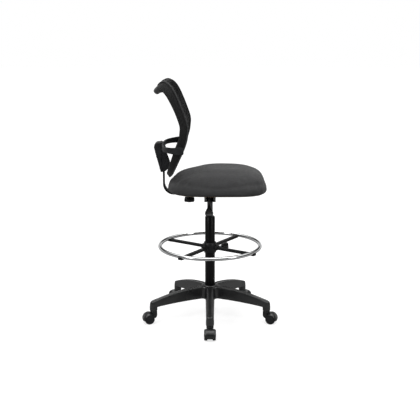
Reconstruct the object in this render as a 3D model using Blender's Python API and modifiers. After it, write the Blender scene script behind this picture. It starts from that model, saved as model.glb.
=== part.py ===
"""Drafting chair with a mesh back, a foot ring and a five-star base on twin-wheel casters.

Metres, +Z up. The sitter faces -Y, and their right hand is at -X. Z is 0 at the floor, and the origin is
below the middle of the chair's footprint, so the column stands at x = COLUMN_X.
"""

import math

import bmesh
import bpy
from mathutils import Matrix, Vector

FIT = 0.0003  # gap between pieces that touch
RUN = 0.0006  # gap between pieces that slide or turn

# Five-star base
ARM_COUNT = 5
ARM_STEP = math.radians(360 / ARM_COUNT)
FIRST_ARM = math.radians(180)
STEM_CIRCLE = 0.298
ARM_TIP = 0.314
ARM_TOP = 0.167
ARM_TOP_DROP = 0.60
ARM_UNDER = 0.107
ARM_UNDER_RISE = 0.27
HUB_R = 0.041
HUB_TOP = 0.172
HUB_BOTTOM = 0.098
BOSS_R = 0.0195
BOSS_BOTTOM = 0.065

# Casters
WHEEL_R = 0.025
WHEEL_WIDTH = 0.015
WHEEL_GAP = 0.024
TRAIL = 0.025
FENDER_R = 0.029
FENDER_WALL = 0.0026
AXLE_R = 0.003
STEM_R = 0.0055
STEM_TOP = 0.098
NECK_R = 0.0175

# Column and gas lift
TUBE_R = 0.025
TUBE_WALL = 0.002
TUBE_BOTTOM = 0.090
TUBE_TOP = 0.525
LIFT_R = 0.014
LIFT_WALL = 0.003
LIFT_BOTTOM = 0.215
LIFT_TOP = 0.640
LIFT_UP = 0.11
LIFT_DOWN = 0.075
ROD_R = 0.005
PISTON_H = 0.014
PIN_R = 0.004
PIN_DEPTH = 0.009
PIN_PROUD = 0.006
BUSH_DEPTH = 0.09
BUSH_LIP = 0.004

# Foot ring
RING_R = 0.2515
RING_TUBE_R = 0.0095
RING_Z = 0.378
RING_STEPS = 64
COLLAR_R = 0.035
COLLAR_HEIGHT = 0.056
COLLAR_MIDDLE = 0.369
SPOKE_COUNT = 4
FIRST_SPOKE = math.radians(-33.5)
SPOKE_WIDTH = 0.019
SPOKE_HEIGHT = 0.013
SPOKE_PAST = 0.0125  # how far a spoke runs out under the ring, past the middle of its tube
SPOKE_TIP = RING_R + SPOKE_PAST
RING_KNOB_ANGLE = math.radians(-78.5)
KNOB_SCREW_R = 0.004

# Seat mechanism
HOUSING_BOTTOM = 0.612
PLATE_BOTTOM = 0.664
PLATE_THICK = 0.003
PLATE_WIDTH = 0.20
PLATE_FRONT = -0.11
PLATE_REAR = 0.15
HOUSING_LENGTH = 0.11
HOUSING_HALF = 0.028
STEEL = 0.0025
BOLT_R = 0.003
BOLT_X = 0.080
LEVER_R = 0.004
LEVER_Y = 0.004

# Back bar and its clamp
BAR_THICK = 0.007
BAR_WIDTH = 0.060
BAR_Y = 0.228
BAR_Z = 0.6475
BAR_BEND = 0.050
BAR_FRONT = 0.035
BAR_TOP = 0.850
BRACKET_FRONT = 0.045
BRACKET_REAR = 0.135
BAR_KNOB_Y = 0.1025
BAR_KNOB_R = 0.0275

# Seat
SEAT_HALF_WIDTH = 0.235
SEAT_FRONT = -0.285
SEAT_REAR = 0.2165
SEAT_BASE = 0.669
SEAT_CROWN = 0.779
BOARD_THICK = 0.010
BOARD_INSET = 0.027
COVER_THICK = 0.0018

# The cushion's outline at heights from its lower edge (0) to its crown (1): height, and how far it is
# drawn in at the front, at the rear and at each side.
SEAT_ROWS = (
    (0.000, 0.022, 0.022, 0.022),
    (0.030, 0.008, 0.008, 0.008),
    (0.120, 0.002, 0.002, 0.002),
    (0.280, 0.000, 0.000, 0.000),
    (0.430, 0.009, 0.012, 0.009),
    (0.550, 0.017, 0.031, 0.024),
    (0.660, 0.026, 0.060, 0.043),
    (0.760, 0.039, 0.096, 0.067),
    (0.840, 0.056, 0.129, 0.093),
    (0.920, 0.075, 0.160, 0.118),
    (0.970, 0.093, 0.190, 0.142),
    (0.993, 0.111, 0.221, 0.166),
    (1.000, 0.130, 0.253, 0.191),
)

# Back: stations of the frame from the middle of its top rail, down the +X side, to the middle of its
# bottom rail: x, y, z of the section's centre, tilt of its depth below +Y in degrees, depth, thickness.
FRAME_STATIONS = (
    (0.000, 0.252, 1.153, 45, 0.042, 0.032),
    (0.070, 0.243, 1.160, 52, 0.046, 0.031),
    (0.125, 0.228, 1.171, 58, 0.050, 0.028),
    (0.168, 0.206, 1.175, 58, 0.052, 0.024),
    (0.196, 0.183, 1.153, 45, 0.050, 0.020),
    (0.209, 0.159, 1.108, 30, 0.045, 0.017),
    (0.215, 0.137, 1.056, 22, 0.042, 0.015),
    (0.218, 0.120, 1.004, 10, 0.042, 0.015),
    (0.218, 0.120, 0.970, -3, 0.042, 0.015),
    (0.214, 0.126, 0.933, -12, 0.042, 0.015),
    (0.205, 0.141, 0.889, -20, 0.041, 0.015),
    (0.188, 0.160, 0.844, -25, 0.039, 0.015),
    (0.158, 0.178, 0.800, -30, 0.036, 0.016),
    (0.112, 0.191, 0.767, -38, 0.032, 0.017),
    (0.056, 0.198, 0.752, -46, 0.028, 0.018),
    (0.000, 0.200, 0.749, -50, 0.026, 0.018),
)
FRAME_TOP_CORNER = 3.4
FRAME_LOW_CORNER = 12.0
MESH_THICK = 0.0015
MESH_BULGE = -0.014

# Back bracket: half plan of an arm, from the spine to the rim: x, y, height
ARM_STATIONS = (
    (0.020, 0.2285, 0.026),
    (0.080, 0.2280, 0.024),
    (0.135, 0.2200, 0.024),
    (0.175, 0.2040, 0.026),
    (0.203, 0.182, 0.029),
    (0.2165, 0.160, 0.033),
    (0.2195, 0.140, 0.036),
    (0.2195, 0.122, 0.034),
)
BACK_ARM_Z = 0.886
BACK_ARM_THICK = 0.008
SPINE_HALF = 0.037
SPINE_SPLIT = 0.2338
SPINE_TOP = 0.904
SPINE_BOTTOM = 0.757

CASTER_CIRCLE = STEM_CIRCLE + TRAIL
FENDER_HALF = WHEEL_GAP / 2 + WHEEL_WIDTH
REACH_NEAR = CASTER_CIRCLE + FENDER_R
REACH_FAR = REACH_NEAR * math.cos(ARM_STEP / 2) + FENDER_HALF * math.sin(ARM_STEP / 2)
COLUMN_X = (REACH_NEAR - REACH_FAR) / 2

NYLON = ("black_nylon", (0.018, 0.018, 0.019), 0.45, 0.0)
MOULDED = ("black_moulding", (0.022, 0.022, 0.023), 0.40, 0.0)
POWDER = ("powder_coat", (0.012, 0.012, 0.012), 0.35, 0.0)
CHROME = ("chrome", (0.80, 0.80, 0.80), 0.08, 1.0)
ZINC = ("zinc_steel", (0.55, 0.55, 0.56), 0.30, 1.0)
ACETAL = ("acetal", (0.05, 0.05, 0.05), 0.35, 0.0)
MESH_CLOTH = ("mesh_cloth", (0.015, 0.015, 0.016), 0.80, 0.0)
SEAT_CLOTH = ("seat_cloth", (0.075, 0.075, 0.078), 0.90, 0.0)
FOAM = ("foam", (0.65, 0.60, 0.42), 0.95, 0.0)
PLYWOOD = ("plywood", (0.50, 0.36, 0.22), 0.70, 0.0)


# ---------------------------------------------------------------- helpers


def clear_scene():
    for obj in list(bpy.data.objects):
        bpy.data.objects.remove(obj)


def new_collection(name):
    collection = bpy.data.collections.new(name)
    bpy.context.scene.collection.children.link(collection)
    return collection


clear_scene()
CHAIR = new_collection("drafting_chair")
CUTTERS = new_collection("cutters")


def finish_of(spec):
    name, colour, roughness, metallic = spec
    found = bpy.data.materials.get(name)
    if found:
        return found
    made = bpy.data.materials.new(name)
    made.use_nodes = True
    shader = made.node_tree.nodes["Principled BSDF"]
    shader.inputs["Base Color"].default_value = (*colour, 1)
    shader.inputs["Roughness"].default_value = roughness
    shader.inputs["Metallic"].default_value = metallic
    return made


def new_empty(name, location, turn=0.0, parent=None):
    empty = bpy.data.objects.new(name, None)
    CHAIR.objects.link(empty)
    empty.location = location
    empty.rotation_euler = (0, 0, turn)
    empty.parent = parent
    return empty


COLUMN = new_empty("column_axis", (COLUMN_X, 0, 0))


def place(obj, spec, location=(0, 0, 0), rotation=(0, 0, 0), parent=COLUMN):
    """Links a new object to the chair, with its finish and its place."""
    CHAIR.objects.link(obj)
    obj.data.materials.append(finish_of(spec))
    obj.location = location
    obj.rotation_euler = rotation
    obj.parent = parent
    return obj


def as_cutter(obj):
    """Takes an object out of the chair and makes it a tool for Boolean modifiers."""
    CHAIR.objects.unlink(obj)
    CUTTERS.objects.link(obj)
    obj.hide_render = True
    obj.display_type = "WIRE"
    return obj


def combine(obj, tool, operation):
    modifier = obj.modifiers.new(tool.name, "BOOLEAN")
    modifier.operation = operation
    modifier.solver = "EXACT"
    modifier.object = tool


def cut(obj, *tools):
    for tool in tools:
        combine(obj, as_cutter(tool), "DIFFERENCE")
    return obj


def join(obj, *tools):
    for tool in tools:
        combine(obj, as_cutter(tool), "UNION")
    return obj


def smooth(obj, degrees=35):
    obj.data.shade_smooth()
    obj.data.set_sharp_from_angle(angle=math.radians(degrees))
    return obj


def turned(name, spec, profile, steps=24, ring=False, **place_args):
    """A turned piece: profile is (radius, height), down its outer side, and closed on itself for a ring."""
    mesh = bpy.data.meshes.new(name)
    edges = [(i, i + 1) for i in range(len(profile) - 1)]
    if ring:
        edges.append((len(profile) - 1, 0))
    mesh.from_pydata([(r, 0, z) for r, z in profile], edges, [])
    obj = place(bpy.data.objects.new(name, mesh), spec, **place_args)
    screw = obj.modifiers.new("turn", "SCREW")
    screw.axis = "Z"
    screw.steps = steps
    screw.render_steps = steps
    screw.use_merge_vertices = True
    screw.merge_threshold = 0.00001
    return obj


def ring_profile(outer, inner, bottom, top):
    return [(inner, top), (outer, top), (outer, bottom), (inner, bottom)]


def bar_profile(radius, bottom, top):
    return [(0, top), (radius, top), (radius, bottom), (0, bottom)]


def tube(name, spec, points, radius, cyclic=False, resolution=2, **place_args):
    """A round bar along a line of points."""
    curve = bpy.data.curves.new(name, "CURVE")
    curve.dimensions = "3D"
    curve.bevel_depth = radius
    curve.bevel_resolution = resolution
    curve.use_fill_caps = True
    spline = curve.splines.new("POLY")
    spline.points.add(len(points) - 1)
    for point, place_of in zip(spline.points, points):
        point.co = (*place_of, 1)
    spline.use_cyclic_u = cyclic
    return place(bpy.data.objects.new(name, curve), spec, **place_args)


def plate(name, spec, outline, thickness, **place_args):
    """A flat outline in local x and y, extruded by half its thickness to each side."""
    curve = bpy.data.curves.new(name, "CURVE")
    curve.dimensions = "2D"
    curve.fill_mode = "BOTH"
    curve.extrude = thickness / 2
    spline = curve.splines.new("POLY")
    spline.points.add(len(outline) - 1)
    for point, (x, y) in zip(spline.points, outline):
        point.co = (x, y, 0, 1)
    spline.use_cyclic_u = True
    return place(bpy.data.objects.new(name, curve), spec, **place_args)


def as_mesh(obj):
    """The curve as a closed mesh object with the same name, place and finish."""
    bpy.context.view_layer.update()
    evaluated = obj.evaluated_get(bpy.context.evaluated_depsgraph_get())
    mesh = bpy.data.meshes.new_from_object(evaluated)
    body = bmesh.new()
    body.from_mesh(mesh)
    bmesh.ops.remove_doubles(body, verts=body.verts, dist=0.00001)
    bmesh.ops.recalc_face_normals(body, faces=body.faces)
    body.to_mesh(mesh)
    body.free()
    name = obj.name
    made = bpy.data.objects.new(name + "_mesh", mesh)
    CHAIR.objects.link(made)
    made.parent = obj.parent
    made.matrix_world = obj.matrix_world
    bpy.data.objects.remove(obj)
    made.name = name
    return made


def block(name, spec, size, bevel=0.0, **place_args):
    """A box whose centre is its place."""
    mesh = bpy.data.meshes.new(name)
    body = bmesh.new()
    bmesh.ops.create_cube(body, size=1.0, matrix=Matrix.Diagonal((*size, 1)))
    body.to_mesh(mesh)
    body.free()
    obj = place(bpy.data.objects.new(name, mesh), spec, **place_args)
    if bevel:
        modifier = obj.modifiers.new("edges", "BEVEL")
        modifier.width = bevel
        modifier.segments = 2
    return obj


def loft(name, spec, rings, closed=True, **place_args):
    """A skin over rings of points, capped at both ends unless it stays open."""
    mesh = bpy.data.meshes.new(name)
    body = bmesh.new()
    rows = [[body.verts.new(p) for p in ring] for ring in rings]
    count = len(rows[0])
    for low, high in zip(rows, rows[1:]):
        for i in range(count):
            j = (i + 1) % count
            body.faces.new((low[i], low[j], high[j], high[i]))
    if closed:
        body.faces.new(rows[0])
        body.faces.new(rows[-1])
    bmesh.ops.recalc_face_normals(body, faces=body.faces)
    body.to_mesh(mesh)
    body.free()
    return place(bpy.data.objects.new(name, mesh), spec, **place_args)


def arc(centre, radius, start, end, count):
    """Points on an arc in the plane, with the angles in degrees."""
    angles = [math.radians(start + (end - start) * i / (count - 1)) for i in range(count)]
    return [(centre[0] + radius * math.cos(a), centre[1] + radius * math.sin(a)) for a in angles]


def polar(radius, angle, z=0.0):
    return Vector((radius * math.cos(angle), radius * math.sin(angle), z))


def through(stations, t):
    """The row of values at t along rows of control values, on a smooth curve through all of them."""
    last = len(stations) - 1
    i = min(int(t), last - 1)
    f = t - i
    before, start, end, after = (stations[min(max(k, 0), last)] for k in (i - 1, i, i + 1, i + 2))
    values = []
    for a, b, c, d in zip(before, start, end, after):
        values.append(
            b + 0.5 * f * (c - a + f * (2 * a - 5 * b + 4 * c - d + f * (3 * (b - c) + d - a)))
        )
    return values


# ---------------------------------------------------------------- five-star base


def arm_top(r):
    return ARM_TOP - ARM_TOP_DROP * r * r


def arm_under(r):
    return ARM_UNDER - ARM_UNDER_RISE * r * r


def arm_section(r):
    """One arm's section at radius r: straight drafted sides under a rounded top."""
    foot = 0.0235 - 0.012 * r
    head = 0.0145 + 0.004 * r
    top, under = arm_top(r), arm_under(r)
    half = [(foot, under), (head + 0.003, top - 0.010), (head, top - 0.003), (head - 0.005, top)]
    return half + [(-s, z) for s, z in reversed(half)]


def arm_loft(name, start, end, count, angle):
    radii = [start + (end - start) * i / (count - 1) for i in range(count)]
    rings = [[(r, s, z) for s, z in arm_section(r)] for r in radii]
    return loft(name, NYLON, rings, rotation=(0, 0, angle))


def base_spider():
    profile = [
        (0, HUB_TOP),
        (HUB_R - 0.003, HUB_TOP),
        (HUB_R, HUB_TOP - 0.004),
        (HUB_R + 0.003, HUB_BOTTOM),
        (0, HUB_BOTTOM),
    ]
    hub = turned("base_spider", NYLON, profile, steps=30)
    angles = [FIRST_ARM + k * ARM_STEP for k in range(ARM_COUNT)]
    for k, angle in enumerate(angles):
        join(hub, arm_loft(f"arm_{k}", 0.012, ARM_TIP, 10, angle))
        boss_top = arm_top(STEM_CIRCLE) - 0.004
        boss = turned(
            f"boss_{k}",
            NYLON,
            bar_profile(BOSS_R, BOSS_BOTTOM, boss_top),
            steps=20,
            location=polar(STEM_CIRCLE, angle),
        )
        join(hub, boss)
    for k, angle in enumerate(angles):
        stem_bore = turned(
            f"stem_bore_{k}",
            NYLON,
            bar_profile(STEM_R + RUN, BOSS_BOTTOM - 0.01, STEM_TOP + 0.002),
            steps=14,
            location=polar(STEM_CIRCLE, angle),
        )
        cut(hub, stem_bore)
    bore = bar_profile(TUBE_R + FIT, HUB_BOTTOM - 0.01, HUB_TOP + 0.01)
    cut(hub, turned("column_bore", NYLON, bore, steps=28))


# ---------------------------------------------------------------- casters


def fender_outline():
    """Side view of the fender, round the wheel's centre: open below and on the side of the stem."""
    outer = arc((0, 0), FENDER_R, -28, 128, 14)
    inner = arc((0, 0), FENDER_R - FENDER_WALL, 128, -28, 12)
    return outer + inner


def web_outline():
    """Side view of the hood's middle, from the fender's rim to the neck beside it."""
    rim = FENDER_R - FENDER_WALL / 2
    neck = [
        (-TRAIL + 0.012, 0.0395 - FIT),
        (-TRAIL - NECK_R + 0.001, 0.0395 - FIT),
        (-TRAIL - NECK_R + 0.001, 0.012),
        (-TRAIL - 0.008, 0.001),
        (-TRAIL + 0.004, -0.006),
    ]
    return arc((0, 0), rim, -24, 112, 10) + neck + [(-0.010, -0.012), (0.008, -0.0155)]


def caster_hood(name, parent):
    upright = (math.pi / 2, 0, 0)
    web_width = WHEEL_GAP - 2 * RUN
    fender = as_mesh(
        plate(
            name,
            NYLON,
            fender_outline(),
            2 * FENDER_HALF,
            location=(TRAIL, 0, WHEEL_R),
            rotation=upright,
            parent=parent,
        )
    )
    web = as_mesh(
        plate(
            name + "_web",
            NYLON,
            web_outline(),
            web_width,
            location=(TRAIL, 0, WHEEL_R),
            rotation=upright,
            parent=parent,
        )
    )
    neck = turned(
        name + "_neck",
        NYLON,
        bar_profile(NECK_R, 2 * WHEEL_R + RUN, BOSS_BOTTOM - RUN),
        steps=18,
        parent=parent,
    )
    join(fender, web, neck)
    stem_hole = turned(
        name + "_stem_hole",
        NYLON,
        bar_profile(STEM_R + FIT, 0.034, BOSS_BOTTOM + 0.01),
        steps=14,
        parent=parent,
    )
    axle_hole = turned(
        name + "_axle_hole",
        NYLON,
        bar_profile(AXLE_R + FIT, -WHEEL_GAP, WHEEL_GAP),
        steps=10,
        location=(TRAIL, 0, WHEEL_R),
        rotation=upright,
        parent=parent,
    )
    cut(fender, stem_hole, axle_hole)


def caster_wheel(name, side, parent):
    """One wheel, with a domed face outside and a blind hole for the axle inside."""
    face = WHEEL_WIDTH
    profile = [
        (0, face + 0.0004),
        (0.0200, face),
        (0.0235, face - 0.0012),
        (WHEEL_R, face - 0.004),
        (WHEEL_R, 0.002),
        (WHEEL_R - 0.002, 0),
        (AXLE_R + RUN, 0),
        (AXLE_R + RUN, face - 0.003),
        (0, face - 0.003),
    ]
    wheel = turned(
        name,
        NYLON,
        profile,
        steps=20,
        location=(TRAIL, side * WHEEL_GAP / 2, WHEEL_R),
        rotation=(-side * math.pi / 2, 0, 0),
        parent=parent,
    )
    smooth(wheel)


def casters():
    stem_profile = [
        (0, STEM_TOP),
        (STEM_R - 0.001, STEM_TOP),
        (STEM_R, STEM_TOP - 0.001),
        (STEM_R, 0.035),
        (0, 0.035),
    ]
    half_axle = FENDER_HALF - 0.0045
    for k in range(ARM_COUNT):
        angle = FIRST_ARM + k * ARM_STEP
        label = f"caster_{k + 1}"
        swivel = new_empty(label + "_swivel", polar(STEM_CIRCLE, angle), angle, COLUMN)
        caster_hood(label + "_hood", swivel)
        turned(label + "_stem", ZINC, stem_profile, steps=12, parent=swivel)
        turned(
            label + "_axle",
            ZINC,
            bar_profile(AXLE_R, -half_axle, half_axle),
            steps=10,
            location=(TRAIL, 0, WHEEL_R),
            rotation=(math.pi / 2, 0, 0),
            parent=swivel,
        )
        caster_wheel(label + "_wheel_left", 1, swivel)
        caster_wheel(label + "_wheel_right", -1, swivel)


# ---------------------------------------------------------------- column and gas lift


def column():
    floor = TUBE_BOTTOM + 0.003
    inner = TUBE_R - TUBE_WALL
    tube_profile = [
        (inner, TUBE_TOP),
        (TUBE_R, TUBE_TOP),
        (TUBE_R, TUBE_BOTTOM),
        (ROD_R + FIT, TUBE_BOTTOM),
        (ROD_R + FIT, floor),
        (inner, floor),
    ]
    smooth(turned("column_tube", POWDER, tube_profile, steps=28, ring=True))

    outside = inner - FIT
    bush_profile = [
        (LIFT_R + RUN, TUBE_TOP + FIT + BUSH_LIP),
        (TUBE_R - 0.001, TUBE_TOP + FIT + BUSH_LIP),
        (TUBE_R - 0.001, TUBE_TOP + FIT),
        (outside, TUBE_TOP + FIT),
        (outside, TUBE_TOP - BUSH_DEPTH),
        (LIFT_R + RUN, TUBE_TOP - BUSH_DEPTH),
    ]
    smooth(turned("guide_bush", ACETAL, bush_profile, steps=24, ring=True))

    bearing = ring_profile(0.012, ROD_R + FIT, floor + FIT, floor + FIT + 0.005)
    smooth(turned("thrust_bearing", ZINC, bearing, steps=16, ring=True))
    clip_top = TUBE_BOTTOM - RUN
    clip = ring_profile(0.0095, ROD_R + FIT, clip_top - 0.002, clip_top)
    turned("retaining_clip", ZINC, clip, steps=12, ring=True)

    bore = LIFT_R - LIFT_WALL
    piston_low = LIFT_BOTTOM + 0.010 + LIFT_UP + 0.004
    piston_top = piston_low + PISTON_H
    rod_profile = [
        (0, piston_top),
        (bore - RUN, piston_top),
        (bore - RUN, piston_low),
        (ROD_R, piston_low),
        (ROD_R, clip_top - 0.006),
        (0, clip_top - 0.006),
    ]
    smooth(turned("piston_rod", ZINC, rod_profile, steps=16))
    lift_profile = [
        (0, LIFT_TOP - PIN_DEPTH),
        (PIN_R + RUN, LIFT_TOP - PIN_DEPTH),
        (PIN_R + RUN, LIFT_TOP),
        (LIFT_R - 0.0012, LIFT_TOP),
        (LIFT_R, LIFT_TOP - 0.045),
        (LIFT_R, LIFT_BOTTOM),
        (ROD_R + RUN, LIFT_BOTTOM),
        (ROD_R + RUN, LIFT_BOTTOM + 0.010),
        (bore, LIFT_BOTTOM + 0.010),
        (bore, piston_top + LIFT_DOWN + 0.010),
        (0, piston_top + LIFT_DOWN + 0.010),
    ]
    smooth(turned("gas_cylinder", CHROME, lift_profile, steps=24))
    pin = bar_profile(PIN_R, LIFT_TOP - PIN_DEPTH + 0.003, LIFT_TOP + PIN_PROUD - FIT)
    turned("release_pin", ZINC, pin, steps=12)


# ---------------------------------------------------------------- foot ring


def ring_collar():
    low = COLLAR_MIDDLE - COLLAR_HEIGHT / 2
    high = COLLAR_MIDDLE + COLLAR_HEIGHT / 2
    profile = [
        (0, high),
        (COLLAR_R - 0.006, high),
        (COLLAR_R, high - 0.014),
        (COLLAR_R, low + 0.014),
        (COLLAR_R - 0.006, low),
        (0, low),
    ]
    collar = turned("ring_collar", MOULDED, profile, steps=24)
    for k in range(SPOKE_COUNT):
        angle = FIRST_SPOKE + k * math.tau / SPOKE_COUNT
        socket = block(
            f"socket_{k}",
            MOULDED,
            (0.030, SPOKE_WIDTH + 0.007, SPOKE_HEIGHT + 0.007),
            bevel=0.003,
            location=polar(COLLAR_R + 0.001, angle, COLLAR_MIDDLE),
            rotation=(0, 0, angle),
        )
        join(collar, socket)
    boss = turned(
        "knob_boss",
        MOULDED,
        bar_profile(0.010, 0.020, COLLAR_R + 0.010),
        steps=14,
        location=(0, 0, COLLAR_MIDDLE),
        rotation=(0, math.pi / 2, RING_KNOB_ANGLE),
    )
    join(collar, boss)
    column_bore = bar_profile(TUBE_R + RUN, low - 0.01, high + 0.01)
    cut(collar, turned("collar_bore", MOULDED, column_bore, steps=28))
    for k in range(SPOKE_COUNT):
        angle = FIRST_SPOKE + k * math.tau / SPOKE_COUNT
        pocket = block(
            f"pocket_{k}",
            MOULDED,
            (0.040, SPOKE_WIDTH + 2 * FIT, SPOKE_HEIGHT + 2 * FIT),
            location=polar(COLLAR_R + 0.020, angle, COLLAR_MIDDLE),
            rotation=(0, 0, angle),
        )
        cut(collar, pocket)
    screw_hole = turned(
        "screw_hole",
        MOULDED,
        bar_profile(KNOB_SCREW_R + RUN, 0.018, COLLAR_R + 0.02),
        steps=12,
        location=(0, 0, COLLAR_MIDDLE),
        rotation=(0, math.pi / 2, RING_KNOB_ANGLE),
    )
    cut(collar, screw_hole)


def ring_tube(name, spec, radius):
    circle = [polar(RING_R, math.tau * i / RING_STEPS, RING_Z) for i in range(RING_STEPS)]
    return tube(name, spec, circle, radius, cyclic=True, resolution=2)


def ring_spokes():
    inner = COLLAR_R + RUN
    ring_inside = RING_R - RING_TUBE_R - 0.004
    bar_end = ring_inside + 0.004
    saddle_low = COLLAR_MIDDLE - SPOKE_HEIGHT / 2
    saddle_high = RING_Z + 0.001
    for k in range(SPOKE_COUNT):
        angle = FIRST_SPOKE + k * math.tau / SPOKE_COUNT
        spoke = block(
            f"spoke_{k + 1}",
            POWDER,
            (bar_end - inner, SPOKE_WIDTH, SPOKE_HEIGHT),
            location=polar((bar_end + inner) / 2, angle, COLLAR_MIDDLE),
            rotation=(0, 0, angle),
        )
        saddle = block(
            f"saddle_{k + 1}",
            POWDER,
            (SPOKE_TIP - ring_inside, SPOKE_WIDTH + 0.003, saddle_high - saddle_low),
            location=polar((SPOKE_TIP + ring_inside) / 2, angle, (saddle_high + saddle_low) / 2),
            rotation=(0, 0, angle),
        )
        join(spoke, saddle)
        seat = ring_tube(f"ring_seat_{k + 1}", POWDER, RING_TUBE_R + FIT)
        cut(spoke, as_mesh(seat))


def foot_ring():
    smooth(as_mesh(ring_tube("foot_ring", CHROME, RING_TUBE_R)))


def lobed_outline(radius, lobes, depth, count):
    """A hand knob's outline, with rounded lobes for the fingers."""
    points = []
    for i in range(count):
        angle = math.tau * i / count
        r = radius - depth * (0.5 - 0.5 * math.cos(lobes * angle))
        points.append((r * math.cos(angle), r * math.sin(angle)))
    return points


def hand_knob(name, outline, screw_length, head_low, head_high, **place_args):
    """A knob with its screw on local z: the screw's point at 0, the head from head_low to head_high."""
    head = as_mesh(plate(name, MOULDED, outline, head_high - head_low, **place_args))
    matrix = head.matrix_world.copy()
    head.data.transform(Matrix.Translation((0, 0, (head_low + head_high) / 2)))
    head.matrix_world = matrix
    screw = turned(
        name + "_screw", ZINC, bar_profile(KNOB_SCREW_R, 0, screw_length), steps=12, **place_args
    )
    return join(head, screw)


def ring_clamp():
    turn = (0, math.pi / 2, RING_KNOB_ANGLE)
    pad_low = TUBE_R + RUN
    pad_high = pad_low + 0.004
    turned(
        "ring_clamp_pad",
        ACETAL,
        bar_profile(KNOB_SCREW_R, pad_low, pad_high),
        steps=12,
        location=(0, 0, COLLAR_MIDDLE),
        rotation=turn,
    )
    point = polar(pad_high + FIT, RING_KNOB_ANGLE, COLLAR_MIDDLE)
    hand_knob(
        "ring_clamp_knob",
        lobed_outline(0.020, 5, 0.004, 30),
        0.040,
        0.029,
        0.063,
        location=point,
        rotation=turn,
    )


# ---------------------------------------------------------------- seat mechanism


def seat_mechanism():
    half, flange, top = HOUSING_HALF, 0.012, PLATE_BOTTOM - FIT
    right = [
        (half, HOUSING_BOTTOM),
        (half, top - STEEL),
        (half + flange, top - STEEL),
        (half + flange, top),
        (half - STEEL, top),
        (half - STEEL, HOUSING_BOTTOM + STEEL),
    ]
    channel = right + [(-y, z) for y, z in reversed(right)]
    side_on = (math.pi / 2, 0, math.pi / 2)
    housing = as_mesh(
        plate("mechanism_housing", POWDER, channel, HOUSING_LENGTH, rotation=side_on)
    )
    socket_low = HOUSING_BOTTOM - 0.003
    socket = turned(
        "taper_socket", POWDER, bar_profile(LIFT_R + 0.0045, socket_low, LIFT_TOP - 0.004), steps=24
    )
    join(housing, socket)
    taper = [
        (0, LIFT_TOP + 0.01),
        (LIFT_R - 0.0012 + FIT, LIFT_TOP + 0.01),
        (LIFT_R - 0.0012 + FIT, LIFT_TOP),
        (LIFT_R + FIT, LIFT_TOP - 0.045),
        (0, LIFT_TOP - 0.045),
    ]
    cut(housing, turned("taper_bore", POWDER, taper, steps=24))

    thick = PLATE_THICK
    top_plate = block(
        "seat_plate",
        POWDER,
        (PLATE_WIDTH, PLATE_REAR - PLATE_FRONT, thick),
        location=(0, (PLATE_REAR + PLATE_FRONT) / 2, PLATE_BOTTOM + thick / 2),
    )
    board_top = PLATE_BOTTOM + thick + FIT + BOARD_THICK
    bolt_profile = [
        (0, board_top - 0.002),
        (BOLT_R, board_top - 0.002),
        (BOLT_R, PLATE_BOTTOM - FIT),
        (0.0065, PLATE_BOTTOM - FIT),
        (0.0065, PLATE_BOTTOM - 0.0045),
        (0, PLATE_BOTTOM - 0.0045),
    ]
    number = 0
    for x in (-BOLT_X, BOLT_X):
        for y in (PLATE_FRONT + 0.02, PLATE_REAR - 0.02):
            number += 1
            hole = turned(
                f"bolt_hole_{number}",
                POWDER,
                bar_profile(BOLT_R + FIT, PLATE_BOTTOM - 0.01, board_top + 0.01),
                steps=12,
                location=(x, y, 0),
            )
            cut(top_plate, hole)
            turned(f"plate_bolt_{number}", ZINC, bolt_profile, steps=12, location=(x, y, 0))


def lever():
    z = LIFT_TOP + PIN_PROUD + LEVER_R
    run = [
        (0.0015, z),
        (-0.040, z - 0.001),
        (-0.070, z - 0.008),
        (-0.110, z - 0.016),
        (-0.165, z - 0.021),
        (-0.185, z - 0.026),
        (-0.205, z - 0.036),
    ]
    tube("lever_rod", ZINC, [(x, LEVER_Y, height) for x, height in run], LEVER_R, resolution=2)

    tip, root = Vector((-0.256, 0, z - 0.063)), Vector((-0.186, 0, z - 0.0265))
    along = (tip - root).normalized()
    up = Vector((-along.z, 0, along.x))
    if up.z < 0:
        up = -up
    widths = ((0.0, 0.0065), (0.2, 0.0085), (0.42, 0.014), (0.66, 0.0195), (0.86, 0.0185), (1.0, 0.011))
    rings = []
    for share, half in widths:
        middle = root + (tip - root) * share
        thick = 0.0062 - 0.0012 * share
        ring = []
        for i in range(12):
            a = math.tau * i / 12
            ring.append(middle + Vector((0, LEVER_Y + half * math.cos(a), 0)) + up * thick * math.sin(a))
        rings.append(ring)
    paddle = loft("lever_paddle", MOULDED, rings)
    bore = [(-0.17, z - 0.0215), (-0.185, z - 0.026), (-0.2065, z - 0.0368)]
    hole = as_mesh(tube("paddle_bore", MOULDED, [(x, LEVER_Y, h) for x, h in bore], LEVER_R + FIT))
    cut(smooth(paddle), hole)


# ---------------------------------------------------------------- back bar


def bar_outline():
    """Side view of the flat bar, in y and z: level under the seat, bent up behind it."""
    centre = (BAR_Y - BAR_BEND, BAR_Z + BAR_BEND)
    half = BAR_THICK / 2
    outer = arc(centre, BAR_BEND + half, -90, 0, 9)
    inner = arc(centre, BAR_BEND - half, 0, -90, 9)
    return (
        [(BAR_FRONT, BAR_Z - half)]
        + outer
        + [(BAR_Y + half, BAR_TOP), (BAR_Y - half, BAR_TOP)]
        + inner
        + [(BAR_FRONT, BAR_Z + half)]
    )


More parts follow.
